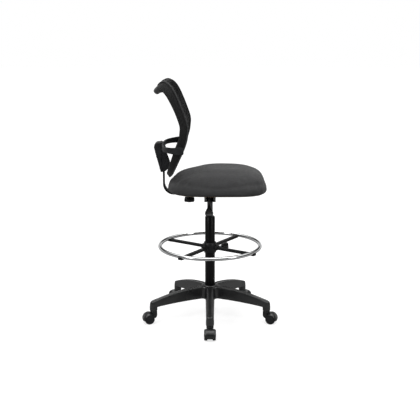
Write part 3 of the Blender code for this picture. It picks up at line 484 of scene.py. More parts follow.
def set_out_tree():
    """One item at each of the guide's points, turned by the point's facing."""
    sizes = {"Item": "NodeSocketObject", "Size": "NodeSocketFloat", "Finish": "NodeSocketMaterial"}
    tree, given = group_tree("items_set_out", sizes)
    points = add(tree, "GeometryNodeMeshToPoints", {"Mesh": given["Guide"]})
    item = add(tree, "GeometryNodeObjectInfo", {"Object": given["Item"]})
    facing = add(tree, "GeometryNodeInputNamedAttribute", {"Name": "facing"}, data_type="FLOAT_VECTOR")
    as_turn = add(tree, "FunctionNodeEulerToRotation", {0: facing.outputs[0]})
    stretch = add(tree, "GeometryNodeInputNamedAttribute", {"Name": "stretch"}, data_type="FLOAT_VECTOR")
    size = add(tree, "ShaderNodeVectorMath", {0: stretch.outputs[0], "Scale": given["Size"]}, operation="SCALE")
    inputs = {
        "Points": points.outputs[0],
        "Instance": item.outputs["Geometry"],
        "Rotation": as_turn.outputs[0],
        "Scale": size.outputs[0],
    }
    placed = add(tree, "GeometryNodeInstanceOnPoints", inputs)
    return close_tree(tree, placed.outputs[0], given["Finish"])


STRANDS = strand_tree()
SET_OUT = set_out_tree()


def grown(name, body, slot, guide, tree, sizes, flat=True):
    """A piece grown by a tree from a guide mesh, made plain, and placed in the frame."""
    holder = in_scene(name, guide)
    modifier = holder.modifiers.new(tree.name, "NODES")
    modifier.node_group = tree
    sizes = {**sizes, "Finish": FINISHES[slot]}
    for socket in tree.interface.items_tree:
        if socket.in_out == "INPUT" and socket.name in sizes:
            modifier[socket.identifier] = sizes[socket.name]
    mesh = settle(holder)
    mesh.transform(Matrix.Translation(COLUMN))
    if flat:
        mesh.shade_flat()
    else:
        mesh.shade_smooth()
    return finished(holder, body, slot)


def set_out(name, body, slot, item, places):
    """Copies of one shape at places, each (point, euler turn, stretch)."""
    mesh = bpy.data.meshes.new(name + "_item")
    mesh.from_pydata(item[0], [], item[1])
    model = bpy.data.objects.new(name + "_item", mesh)
    guide = bpy.data.meshes.new(name)
    guide.from_pydata([place[0] for place in places], [], [])
    for label, index in (("facing", 1), ("stretch", 2)):
        values = guide.attributes.new(label, "FLOAT_VECTOR", "POINT")
        for row, place in zip(values.data, places):
            row.vector = place[index]
    made = grown(name, body, slot, guide, SET_OUT, {"Item": model, "Size": 1.0})
    bpy.data.objects.remove(model)
    skin = bmesh.new()
    skin.from_mesh(made.data)
    bmesh.ops.recalc_face_normals(skin, faces=skin.faces)
    skin.to_mesh(made.data)
    skin.free()
    return made


# ---------------------------------------------------------------- five-star base


ARM_EDGE, FILLET = 0.0160, 0.024
FILLET_OUT = (ARM_EDGE + FILLET) / math.sin(ARM_STEP / 2)
FILLET_U, FILLET_V = FILLET_OUT * math.cos(ARM_STEP / 2), ARM_EDGE + FILLET
MEET_U = (FILLET_OUT - FILLET) * math.cos(ARM_STEP / 2)
TIP_R, BOSS_R = 0.0170, 0.0195
# The top's height by the distance from its edge.
RIDGE = ((0, -0.0055), (0.0006, -0.0028), (0.0016, -0.0010), (0.0032, 0), (0.0050, -0.0009), (0.0076, -0.0034))


def arm_half(u):
    """Half the width of an arm's top, u along it from the column."""
    if u <= MEET_U:
        return u * math.tan(ARM_STEP / 2)
    if u < FILLET_U:
        return FILLET_V - math.sqrt(FILLET**2 - (u - FILLET_U) ** 2)
    if u > STEM_CIRCLE:
        return math.sqrt(max(TIP_R**2 - (u - STEM_CIRCLE) ** 2, 0))
    flare = blend_in((u - 0.262) / (STEM_CIRCLE - 0.262))
    narrow = ARM_EDGE - 0.0010 * (u - FILLET_U) / 0.21
    return narrow + (TIP_R - narrow) * flare


def to_edge(u, s):
    """How far a point of an arm's top is from the nearest edge, and the way out over that edge."""
    if u > STEM_CIRCLE:
        out = Vector((u - STEM_CIRCLE, s, 0))
        return TIP_R - out.length, out.normalized()
    if u < FILLET_U:
        out = Vector((FILLET_U - u, math.copysign(FILLET_V, s) - s, 0))
        return out.length - FILLET, out.normalized()
    return arm_half(u) - abs(s), Vector((0, math.copysign(1, s), 0))


def ridge_height(edge):
    """The top's height by its distance from the edge: a rounded ridge, then a shallow dish."""
    for (near, a), (far, b) in zip(RIDGE, RIDGE[1:]):
        if edge < far:
            return a + (b - a) * (max(edge, near) - near) / (far - near)
    return RIDGE[-1][1]


def arm_top(u):
    return 0.167 - 0.60 * u * u


def arm_skin(angle):
    """One arm's top and sides, out to the middle of the hub's fillets."""
    shares = [1, 0.985, 0.96, 0.92, 0.87, 0.81, 0.75, 0.68, 0.60, 0.52, 0.42, 0.28, 0.14, 0]
    shares = shares + [-s for s in reversed(shares[:-1])]
    us = [0.030, 0.0328, MEET_U]
    us += [FILLET_U - (FILLET_U - MEET_U) * (1 - i / 9) ** 1.6 for i in range(1, 10)]
    us += [FILLET_U + (STEM_CIRCLE - FILLET_U) * i / 30 for i in range(1, 31)]
    us += [STEM_CIRCLE + TIP_R * math.sin(math.pi / 2 * i / 9) for i in range(1, 10)]
    points, faces = [], []
    for u in us:
        half = arm_half(u)
        for share in shares:
            edge, _ = to_edge(u, half * share if share else 1e-9)
            points.append(Vector((u, half * share, arm_top(u) + ridge_height(edge))))
    count = len(shares)
    for k in range(len(us) - 1):
        for i in range(count - 1):
            a = k * count + i
            faces.append((a, a + 1, a + 1 + count, a + count))
    levels = (0, 0.05, 0.2, 0.45, 0.7, 0.92, 1.0)
    for side in (1, -1):
        start, rows = len(points), 0
        for u in us[2:]:
            half = max(arm_half(u), 1e-7)
            _, out = to_edge(u, side * half)
            spread = 0.0232 - 0.012 * u - ARM_EDGE
            spread += (BOSS_R - TIP_R - spread) * blend_in((u - 0.25) / 0.045)
            top, low = arm_top(u) + RIDGE[0][1], 0.107 - 0.27 * u * u
            for level in levels:
                place = Vector((u, side * half, top + (low - top) * level))
                points.append(place + out * spread * min(level * 1.15, 1) ** 0.85)
            rows += 1
        for k in range(rows - 1):
            for i in range(len(levels) - 1):
                a = start + k * len(levels) + i
                faces.append((a, a + 1, a + 1 + len(levels), a + len(levels)))
    return moved((points, faces), turn(angle))


def base():
    angles = [FIRST_ARM + k * ARM_STEP for k in range(ARMS)]
    piece("base_star", "base", "base_nylon", [arm_skin(a) for a in angles], ["base_spider"], wall=0.0034)
    inner = TUBE_R + 0.0004
    hub = [
        (inner, 0.1715), (inner + 0.0012, 0.1725), (0.0335, 0.1725), (0.0368, 0.1712), (0.0385, 0.1675),
        (0.0392, 0.160), (0.0375, 0.155), (0.0330, 0.150), (0.0320, 0.102), (0.0305, 0.0985),
        (inner + 0.001, 0.0985), (inner, 0.100),
    ]
    shapes = [turned(hub, 72, True)]
    boss = [
        (0.0063, 0.099), (0.0186, 0.099), (0.0186, 0.0850), (0.0195, 0.0830), (0.0195, 0.0670),
        (0.0190, 0.0657), (0.0178, 0.0650), (0.0072, 0.0650), (0.0063, 0.0660),
    ]
    shapes += [moved(turned(boss, 40, True), shift(*polar(STEM_CIRCLE, a))) for a in angles]
    piece("base_hub_and_bosses", "base", "base_nylon", shapes)
    # Ribs under each arm: crossed pairs between the walls.
    rib = loft([[(x * n, y, z) for x, y in ((-0.5, -0.5), (0.5, -0.5), (0.5, 0.5), (-0.5, 0.5))]
                for z, n in ((-0.5, 1.0), (0.5, 0.66))])
    places = []
    for angle in angles:
        for i in range(9):
            u = 0.060 + 0.0245 * i
            low, roof = 0.111 - 0.27 * u * u, arm_top(u) - 0.0045
            for way in (1, -1):
                length = (0.0196 - 0.012 * u) * 2.35
                centre = polar(u, angle, (low + roof) / 2)
                places.append((centre, (0, 0, angle + way * 0.96), (length, 0.0016, roof - low)))
    set_out("base_ribs", "base", "base_nylon", rib, places)


# ---------------------------------------------------------------- casters


WHEEL_R, WHEEL_GAP, WHEEL_WIDE, TRAIL = 0.025, 0.024, 0.015, 0.025
WAY_ROUND = turn(math.pi / 2, "X")
FENDER_R, FENDER_LOW, FENDER_SWEEP = 0.0308, -15, 146  # its radius, its lower edge and its reach in degrees


def fender():
    """The hood's rim over both wheels, crowned across its width and round at its corners."""
    half, points, faces = WHEEL_GAP / 2 + WHEEL_WIDE + 0.0012, [], []
    around, wide = 24, 20
    across = [math.sin(math.pi / 2 * (2 * i / wide - 1)) for i in range(wide + 1)]
    for k in range(around + 1):
        share = k / around
        for s in across:
            corner = 20 * (1 - (1 - min(abs(s), 1) ** 4) ** 0.5)
            a = math.radians(FENDER_LOW + corner + (FENDER_SWEEP - 2 * corner) * share)
            r = FENDER_R - 0.0060 * abs(s) ** 4.5
            points.append(Vector((r * math.cos(a), r * math.sin(a), half * s)))
    for k in range(around):
        for i in range(wide):
            a = k * (wide + 1) + i
            faces.append((a, a + 1, a + wide + 2, a + wide + 1))
    return points, faces


def casters():
    neck_r = 0.0175
    web = arc((0, 0), 0.0277, -24, 112, 22) + [
        (-TRAIL + 0.012, 0.0392), (-TRAIL - neck_r + 0.003, 0.0392), (-TRAIL - neck_r + 0.001, 0.036),
        (-TRAIL - neck_r + 0.001, 0.014), (-TRAIL - 0.013, 0.006), (-TRAIL - 0.007, 0.0010),
        (-TRAIL + 0.004, -0.003), (-0.010, -0.0055), (0.000, -0.0068), (0.010, -0.0066),
    ]
    neck = [
        (0.0060, 0.0640), (0.0160, 0.0640), (0.0172, 0.0632), (neck_r, 0.0618), (neck_r, 0.0520),
        (0.0168, 0.0508), (0.0060, 0.0508),
    ]
    tread = [
        (0.0037, 0.0), (0.0215, 0.0), (0.0236, 0.0006), (0.0248, 0.0018), (0.0250, 0.0032), (0.0250, 0.0100),
        (0.0247, 0.0122), (0.0240, 0.0139), (0.0229, 0.0151), (0.0215, 0.0157), (0.0204, 0.0157),
        (0.0196, 0.0151), (0.0186, 0.0148), (0.0150, 0.0152), (0.0100, 0.0158), (0.0080, 0.0161),
        (0.0066, 0.0164), (0.0040, 0.0166), (0.0, 0.0166),
    ]
    bore = [(0.0, 0.0118), (0.0034, 0.0118), (0.0037, 0.0112)]
    for k in range(ARMS):
        angle = FIRST_ARM + k * ARM_STEP
        label = f"caster_{k + 1}"
        stem = shift(*polar(STEM_CIRCLE, angle)) @ turn(angle)
        hub = stem @ shift(TRAIL, 0, WHEEL_R) @ WAY_ROUND
        piece(label + "_fender", label, "caster_nylon", [moved(fender(), hub)], wall=0.0020, bevel=0.0006)
        body = [moved(extruded(web, WHEEL_GAP - 0.0016), hub), moved(turned(neck, 40, True), stem)]
        piece(label + "_body", label, "caster_nylon", body, [label + "_hood"], bevel=0.0012)
        for way, word in ((1, "left"), (-1, "right")):
            place = stem @ shift(TRAIL, way * WHEEL_GAP / 2, WHEEL_R) @ turn(-way * math.pi / 2, "X")
            wheel = turned(bore + tread, 48)
            name = f"{label}_wheel_{word}"
            piece(name + "_tread", name, "wheel_nylon", [moved(wheel, place)], [name])


# ---------------------------------------------------------------- column and gas lift


def column():
    r, top, low = TUBE_R, TUBE_TOP, TUBE_BOTTOM
    tube = [
        (r - 0.002, top - 0.0006), (r - 0.0014, top), (r - 0.0006, top), (r, top - 0.0007), (r, low + 0.0010),
        (r - 0.0010, low), (0.0054, low), (0.0054, low + 0.003), (r - 0.002, low + 0.003),
    ]
    piece("column_sleeve", "base", "column_paint", [turned(tube, 96, True)], ["column_tube"])
    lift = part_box("gas_cylinder")
    radius, base_z, tip = (lift[1].x - lift[0].x) / 2, lift[0].z, lift[1].z
    inner = radius + 0.0006
    bush = [
        (inner, top + 0.0037), (inner + 0.0006, top + 0.0043), (r - 0.0028, top + 0.0043),
        (r - 0.0014, top + 0.0036), (r - 0.0010, top + 0.0022), (r - 0.0010, top + 0.0003),
        (r - 0.0024, top + 0.0003), (r - 0.0024, top - 0.089), (inner, top - 0.089),
    ]
    piece("column_bush", "base", "acetal", [turned(bush, 72, True)], ["guide_bush"])
    cylinder = [
        (0.0, tip - 0.009), (0.0046, tip - 0.009), (0.0046, tip), (radius - 0.0022, tip),
        (radius - 0.0012, tip - 0.001), (radius, tip - 0.045), (radius, base_z + 0.0012),
        (radius - 0.0012, base_z), (0.0056, base_z), (0.0056, base_z + 0.01), (0.0110, base_z + 0.01),
        (0.0110, tip - 0.210), (0.0, tip - 0.210),
    ]
    piece("lift_cylinder", "seat", "lift_paint", [turned(cylinder, 64)], ["gas_cylinder"])


# ---------------------------------------------------------------- foot ring


COLLAR_MIDDLE, SPOKE_WIDE, SPOKE_HIGH = 0.369, 0.019, 0.013
FIRST_SPOKE = math.radians(-33.5)
KNOB_WAY = math.radians(-78.5)
KNOB_TURN = turn(KNOB_WAY) @ turn(math.pi / 2, "Y")


def lobed(profile, lobes, depth, fade, count=90):
    """A hand knob's head: a turned profile with finger lobes that fade towards its middle."""
    rings = []
    for r, z in profile:
        ring = []
        for i in range(count):
            a = math.tau * i / count
            dip = depth * (0.5 - 0.5 * math.cos(lobes * a)) * min(r / fade, 1) ** 3
            ring.append(polar(max(r - dip, 0), a, z))
        rings.append(ring)
    return loft(rings, cap=False)


def screw_thread(radius, low, high, pitch=0.00125):
    """A zinc screw with its thread drawn as rings, and a flat point."""
    profile = [(0, high), (radius, high)]
    z = high
    while z - pitch > low + 0.001:
        profile += [(radius, z - 0.25 * pitch), (radius - 0.0006, z - 0.6 * pitch), (radius, z - pitch)]
        z -= pitch
    profile += [(radius - 0.0006, low + 0.0003), (radius - 0.001, low), (0, low)]
    return turned(profile, 24)


def foot_ring():
    low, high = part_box("foot_ring")
    tube_r = (high.z - low.z) / 2
    ring_r, ring_z = (high.x - low.x) / 2 - tube_r, (high.z + low.z) / 2
    ring_tube(ring_r, ring_z, tube_r)
    spokes(ring_r, ring_z, tube_r)
    collar()
    ring_knob()


def ring_tube(ring_r, ring_z, tube_r):
    circle = [polar(ring_r, math.tau * i / 144, ring_z) for i in range(144)]
    rings = []
    for i, centre in enumerate(circle):
        out = polar(1, math.tau * i / 144)
        rings.append([centre + out * s + Vector((0, 0, h)) for s, h in round_bar(tube_r, 24)])
    piece("foot_ring_tube", "foot_ring_frame", "ring_chrome", [loft(rings, round_again=True)], ["foot_ring"])


def spokes(ring_r, ring_z, tube_r):
    """Four bars from the collar to the ring, each ending in a saddle shaped to the tube over it."""
    for k in range(4):
        angle = FIRST_SPOKE + k * math.tau / 4
        half, floor = SPOKE_WIDE / 2, COLLAR_MIDDLE - SPOKE_HIGH / 2
        inside = ring_r - tube_r - 0.004
        rs = [0.0358, 0.045] + [0.045 + (inside - 0.012 - 0.045) * i / 6 for i in range(1, 7)]
        rs += [inside - 0.004, inside] + [inside + 0.0012 * i for i in range(1, 18)] + [0.2626, 0.2638]
        rings = []
        for r in rs:
            saddle = blend_in((r - inside + 0.010) / 0.010)
            top = COLLAR_MIDDLE + SPOKE_HIGH / 2 + 0.0032 * saddle
            across = (tube_r + 0.0004) ** 2 - (r - ring_r) ** 2
            if across > 0:
                top = min(top, ring_z - math.sqrt(across))
            end = blend_in((r - 0.2600) / 0.0038)
            top -= 0.0022 * end
            wide, rise = half + 0.0012 * saddle - 0.0016 * end, 0.0012 * (1 - saddle)
            under = floor + 0.0018 * end
            outline = [
                (wide - 0.0012, under), (wide, under + 0.0014), (wide, top - 0.0016), (wide - 0.0010, top - 0.0002),
                (wide - 0.0024, top), (wide - 0.0042, top - rise), (0, top - rise),
            ]
            outline += [(-s, z) for s, z in reversed(outline[:-1])]
            rings.append([(r, s, z) for s, z in outline])
        name = f"spoke_{k + 1}"
        spoke = moved(loft(rings), turn(angle))
        piece(name + "_bar", "foot_ring_frame", "spoke_paint", [spoke], [name])


def collar():
    """The collar, a socket for each spoke, and a boss for the knob's screw."""
    mid, bore = COLLAR_MIDDLE, TUBE_R + 0.0007
    profile = [
        (bore, mid + 0.0268), (bore + 0.0012, mid + 0.028), (0.0282, mid + 0.028), (0.0296, mid + 0.0270),
        (0.0312, mid + 0.0225), (0.0340, mid + 0.0165), (0.0350, mid + 0.0130), (0.0350, mid - 0.0130),
        (0.0340, mid - 0.0165), (0.0312, mid - 0.0225), (0.0296, mid - 0.0270), (0.0282, mid - 0.028),
        (bore + 0.0012, mid - 0.028), (bore, mid - 0.0268),
    ]
    piece("collar_ring", "foot_ring_frame", "collar_plastic", [turned(profile, 80, True)], ["ring_collar"])
    sockets = []
    for k in range(4):
        angle = FIRST_SPOKE + k * math.tau / 4
        place = shift(*polar(0.0415, angle, mid)) @ turn(angle)
        wide, tall, deep = SPOKE_WIDE + 0.007, SPOKE_HIGH + 0.007, 0.0150
        outer = rounded_bar(wide, tall, 0.0032, 3)
        inner = rounded_bar(SPOKE_WIDE + 0.0006, SPOKE_HIGH + 0.0006, 0.0012, 3)
        x = deep / 2
        rings = [
            [(-x, a, b) for a, b in inner], [(-x, a, b) for a, b in outer], [(x - 0.001, a, b) for a, b in outer],
            [(x, a * 0.96, b * 0.95) for a, b in outer], [(x, a, b) for a, b in inner],
        ]
        sockets.append(moved(loft(rings, round_again=True), place))
    boss = [
        (0.0048, 0.0300), (0.0100, 0.0300), (0.0100, 0.0435), (0.0092, 0.0448), (0.0056, 0.0450), (0.0048, 0.0442),
    ]
    sockets.append(moved(turned(boss, 36, True), shift(0, 0, mid) @ KNOB_TURN))
    piece("collar_sockets", "foot_ring_frame", "collar_plastic", sockets)


def ring_knob():
    at = shift(*polar(TUBE_R + 0.0049, KNOB_WAY, COLLAR_MIDDLE)) @ KNOB_TURN
    head = [
        (0, 0.0290), (0.0095, 0.0290), (0.0108, 0.0300), (0.0114, 0.0340), (0.0150, 0.0385), (0.0185, 0.0400),
        (0.0197, 0.0415), (0.0200, 0.0440), (0.0200, 0.0585), (0.0194, 0.0612), (0.0176, 0.0627),
        (0.0130, 0.0630), (0.0118, 0.0622), (0.0, 0.0618),
    ]
    knob = moved(lobed(head, 5, 0.004, 0.019), at)
    screw = moved(screw_thread(0.004, 0.0, 0.030), at)
    piece("ring_knob_head", "ring_knob", "knob_plastic", [knob], ["ring_clamp_knob"])
    piece("ring_knob_screw", "ring_knob", "zinc_steel", [screw])


# ---------------------------------------------------------------- lever


def height_lever():
    z, y = 0.650, 0.004
    run = [
        (0.0015, y, z), (-0.040, y, z - 0.001), (-0.070, y, z - 0.008), (-0.110, y, z - 0.016),
        (-0.165, y, z - 0.021), (-0.185, y, z - 0.026), (-0.204, y, z - 0.0355),
    ]
    rod = sweep(smooth_line(run, 72), round_bar(0.004, 20))
    piece("lever_bar", "height_lever", "mechanism_paint", [rod], ["lever_rod"])
    root, tip = Vector((-0.186, y, z - 0.0265)), Vector((-0.256, y, z - 0.063))
    up = Vector((0, 1, 0)).cross(tip - root).normalized()
    up = up if up.z > 0 else -up
    widths = [
        (0.0, 0.0050), (0.012, 0.0063), (0.10, 0.0072), (0.2, 0.0085), (0.32, 0.0110), (0.42, 0.0140),
        (0.54, 0.0172), (0.66, 0.0195), (0.76, 0.0197), (0.86, 0.0183), (0.93, 0.0155), (0.975, 0.0115),
        (0.995, 0.0060), (1.0, 0.0015),
    ]
    rings = []
    for share, half in widths:
        centre = root + (tip - root) * share
        thick = (0.0062 - 0.0016 * share) * (1 if share < 0.95 else max(half / 0.0155, 0.15))
        ring = []
        for i in range(28):
            a = math.tau * i / 28
            c, s = math.cos(a), math.sin(a)
            dish = 0.0009 * blend_in((share - 0.4) / 0.2) * (1 - c * c) * (1 if s > 0 else 0)
            over = thick * math.copysign(abs(s) ** 0.8, s) - dish
            ring.append(centre + Vector((0, half * c, 0)) + up * over)
        rings.append(ring)
    piece("lever_grip", "height_lever", "knob_plastic", [loft(rings)], ["lever_paddle"])


# ---------------------------------------------------------------- back bar and its clamp


BAR_Y, BAR_Z, BAR_BEND, BAR_THICK, BAR_WIDE = 0.228, 0.6475, 0.050, 0.007, 0.060


def back_bar():
    centre = (BAR_Y - BAR_BEND, BAR_Z + BAR_BEND)
    line = [(0.0352, BAR_Z), (0.06, BAR_Z), (0.12, BAR_Z)] + arc(centre, BAR_BEND, -90, 0, 25)
    line += [(BAR_Y, 0.74), (BAR_Y, 0.79), (BAR_Y, 0.8498)]
    path = [Vector((0, y, z)) for y, z in line]
    section = rounded_bar(BAR_WIDE, BAR_THICK, 0.0014, 4)
    rings = []
    for i, point in enumerate(path):
        along = (path[min(i + 1, len(path) - 1)] - path[max(i - 1, 0)]).normalized()
        over = Vector((1, 0, 0)).cross(along)
        rings.append([point + Vector((s, 0, 0)) + over * h for s, h in section])
    piece("back_bar_steel", "back_arm", "bar_paint", [loft(rings)], ["back_bar"])
    head = [
        (0, 0.0145), (0.0225, 0.0145), (0.0240, 0.0152), (0.0252, 0.0175), (0.0262, 0.0200), (0.0268, 0.0218),
        (0.0273, 0.0238), (0.0275, 0.0262), (0.0275, 0.0335), (0.0268, 0.0358), (0.0245, 0.0372),
        (0.0190, 0.0375), (0.0176, 0.0366), (0.0, 0.0360),
    ]
    low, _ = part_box("bar_clamp_pad")
    at = shift(0, 0.1025, low.z - 0.0003) @ turn(math.pi, "X")
    piece("bar_knob_head", "bar_knob", "knob_plastic", [moved(lobed(head, 6, 0.003, 0.026), at)], ["bar_clamp_knob"])
    piece("bar_knob_screw", "bar_knob", "zinc_steel", [moved(screw_thread(0.004, 0.0, 0.0155), at)])


# ---------------------------------------------------------------- back: bracket and casing


SIDE_ON = Matrix(((0, 0, 1, 0), (1, 0, 0, 0), (0, 1, 0, 0), (0, 0, 0, 1)))  # an outline's x, y to y, z
ARM_STATIONS = (
    (0.020, 0.2285, 0.026), (0.080, 0.2280, 0.024), (0.135, 0.2200, 0.024), (0.175, 0.2040, 0.026),
    (0.203, 0.182, 0.029), (0.2165, 0.160, 0.033), (0.2195, 0.140, 0.036), (0.2195, 0.122, 0.034),
)


def bracket_arm(side):
    rings = []
    steps, last = 48, len(ARM_STATIONS) - 1
    for i in range(steps + 1):
        t = last * i / steps
        x, y, height = through(ARM_STATIONS, t)
        ahead, behind = through(ARM_STATIONS, min(t + 0.05, last)), through(ARM_STATIONS, max(t - 0.05, 0))
        along = Vector((ahead[0] - behind[0], ahead[1] - behind[1], 0)).normalized()
        out = Vector((-along.y, along.x, 0))
        end = 1 - 0.35 * max(0, (i - steps + 3) / 3) ** 2
        centre = Vector((x, y, 0.886))
        ring = [centre + out * s * end + Vector((0, 0, h * end)) for s, h in rounded_bar(0.008, height, 0.0024, 4)]
        rings.append([Vector((side * p.x, p.y, p.z)) for p in ring])
    return loft(rings)


def back_bracket():
    split, wide = 0.2338, 0.074
    front = [
        (split, 0.757), (split, 0.902), (0.228, 0.898), (0.2165, 0.870), (0.2125, 0.840), (0.200, 0.806),
        (0.196, 0.782), (0.216, 0.764),
    ]
    casing = piece(
        "back_casing_front", "backrest", "back_plastic", [moved(extruded(front, wide), SIDE_ON)], bevel=0.0035
    )
    # The way for the flat bar, cut up through the casing from below.
    ways = [block((0.0612, 0.030, 0.200), (0, 0.2239 + 0.015, 0.754))]
    tool = piece("bar_way", "backrest", "back_plastic", ways)
    cut = casing.modifiers.new("bar_way", "BOOLEAN")
    cut.operation, cut.solver, cut.object = "DIFFERENCE", "EXACT", tool
    settle(casing)
    bpy.data.objects.remove(tool)
    piece("back_arms", "backrest", "back_plastic", [bracket_arm(1), bracket_arm(-1)], ["back_bracket"])
    rear = [
        (0.2341, 0.757), (0.241, 0.757), (0.266, 0.850), (0.273, 0.881), (0.270, 0.893), (0.262, 0.901),
        (0.2341, 0.904),
    ]
    piece(
        "spine_casing", "backrest", "back_plastic", [moved(extruded(rear, wide), SIDE_ON)], ["spine_cover"],
        bevel=0.0045, segments=4,
    )
    # Pan-head screws that hold the casing's two halves, sunk in its rear slope.
    head = [
        (0, 0.0022), (0.0012, 0.0022), (0.0012, 0.0010), (0.0022, 0.0010), (0.0026, 0.0021), (0.0036, 0.0016),
        (0.0042, 0.0006), (0.0043, 0.0), (0.0, 0.0),
    ]
    slope = math.atan2(0.266 - 0.241, 0.850 - 0.757)
    places = []
    for x in (-0.024, 0.024):
        for share in (0.16, 0.80):
            y, z = 0.241 + 0.025 * share, 0.757 + 0.093 * share
            places.append((Vector((x, y, z)), (-math.pi / 2 - slope, 0, 0), (1, 1, 1)))
    set_out("casing_screws", "backrest", "zinc_steel", turned(head, 20), places)


# ---------------------------------------------------------------- back: frame and mesh


FRAME_STATIONS = (
    (0.000, 0.252, 1.153, 45, 0.042, 0.032), (0.070, 0.243, 1.160, 52, 0.046, 0.031),
    (0.125, 0.228, 1.171, 58, 0.050, 0.028), (0.168, 0.206, 1.175, 58, 0.052, 0.024),
    (0.196, 0.183, 1.153, 45, 0.050, 0.020), (0.209, 0.159, 1.108, 30, 0.045, 0.017),
    (0.215, 0.137, 1.056, 22, 0.042, 0.015), (0.218, 0.120, 1.004, 10, 0.042, 0.015),
    (0.218, 0.120, 0.970, -3, 0.042, 0.015), (0.214, 0.126, 0.933, -12, 0.042, 0.015),
    (0.205, 0.141, 0.889, -20, 0.041, 0.015), (0.188, 0.160, 0.844, -25, 0.039, 0.015),
    (0.158, 0.178, 0.800, -30, 0.036, 0.016), (0.112, 0.191, 0.767, -38, 0.032, 0.017),
    (0.056, 0.198, 0.752, -46, 0.028, 0.018), (0.000, 0.200, 0.749, -50, 0.026, 0.018),
)
LAST = len(FRAME_STATIONS) - 1
TOP_CORNER, LOW_CORNER = 3.4, 12.0  # the stations where the panel's sides begin and end
NET_INSET = 0.007  # the net's edge, behind the rim's front
NET_BELLY = 0.014  # how far the net bulges forward in its middle
MIRROR = Vector((-1, 1, 1))


def frame_axes(t):
    """At t along the frame: its centre, depth and outward directions, depth and thickness."""
    x, y, z, tilt, depth, thick = through(FRAME_STATIONS, t)
    ahead, behind = through(FRAME_STATIONS, min(t + 0.05, LAST)), through(FRAME_STATIONS, max(t - 0.05, 0))
    along = (Vector(ahead[:3]) - Vector(behind[:3])).normalized()
    if t in (0, LAST):
        along = Vector((math.copysign(1, along.x), 0, 0))
    tilt = math.radians(tilt)
    deep = Vector((0, math.cos(tilt), -math.sin(tilt)))
    deep = (deep - along * deep.dot(along)).normalized()
    return Vector((x, y, z)), deep, along.cross(deep).normalized(), depth, thick


def at_rim(t, forward, outward):
    """A point by the frame's front edge, on either half: negative t is the half at -X."""
    centre, deep, out, depth, thick = frame_axes(abs(t))
    point = centre - deep * (depth / 2 - forward) + out * (outward * thick / 2)
    if abs(t) in (0, LAST):
        point.x = 0
    return point * MIRROR if t < 0 else point


def frame_round():
    """The frame's stations all the way round, from its top middle and back."""
    steps = 110
    half = [LAST * i / steps for i in range(steps + 1)]
    return half + [-t for t in half[-2:0:-1]]


def back_frame():
    count, rings, weave, travelled, before = 28, [], [], 0.0, None
    for t in frame_round():
        centre, deep, out, depth, thick = frame_axes(abs(t))
        travelled += (centre - before).length if before else 0
        before = centre.copy()
        ring, girth, last = [], 0.0, None
        for i in range(count):
            a = math.tau * i / count
            c, s = math.cos(a), math.sin(a)
            point = deep * (depth / 2 * math.copysign(abs(c) ** 0.75, c))
            point += out * (thick / 2 * math.copysign(abs(s) ** 0.75, s))
            girth += (point - last).length if last else 0
            last = point.copy()
            place = centre + point
            if abs(t) in (0, LAST):
                place.x = 0
            ring.append(place * MIRROR if t < 0 else place)
            weave.append(Vector((travelled if t >= 0 else -travelled, girth, 0)))
        rings.append(ring)
    loop = loft(rings, round_again=True)
    piece("back_sleeve", "backrest", "frame_cloth", [loop], ["back_frame"], weave=weave)
    # The sleeve's sewn edge: a thin cord all round the rim's front, covered in the seat's charcoal cloth. That cloth
    # is lighter than the sleeve, so the cord is partly a painted highlight: the bright line along the rim's front
    # edge.
    line = [at_rim(t, 0.0045, 0.97) for t in frame_round()]
    weave = [Vector((i // 8 * 0.011, i % 8 * 0.001, 0)) for i in range(8 * len(line))]
    piece("back_piping", "backrest", "seat_cloth", [cord_round(line, 0.0030)], weave=weave)


def panel_point(u, v):
    """A point of the stretched back, evened out over its neighbours so that its middle has no crease."""
    reach = 0.22 * min(v / 0.2, (1 - v) / 0.2, 1) * (1 - abs(u))
    steps = (-1, -0.5, 0, 0.5, 1)
    return sum((filled_point(u + reach * step, v) for step in steps), Vector((0, 0, 0))) / len(steps)


def filled_point(u, v):
    """A point between the rim's four sides, u from -1 to 1 across it and v from 0 to 1 down it."""
    def edge(t):
        return at_rim(t, NET_INSET, -1.02)

    flip = -1 if u < 0 else 1
    side = TOP_CORNER + (LOW_CORNER - TOP_CORNER) * v
    top = edge(flip * TOP_CORNER * abs(u))
    low = edge(flip * (LAST - (LAST - LOW_CORNER) * abs(u)))
    w = (u + 1) / 2
    point = top * (1 - v) + low * v + edge(-side) * (1 - w) + edge(side) * w
    point -= (edge(-TOP_CORNER) * (1 - w) + edge(TOP_CORNER) * w) * (1 - v)
    point -= (edge(-LOW_CORNER) * (1 - w) + edge(LOW_CORNER) * w) * v
    point.y -= NET_BELLY * math.cos(u * math.pi / 2) * math.sin(v * math.pi)
    return point


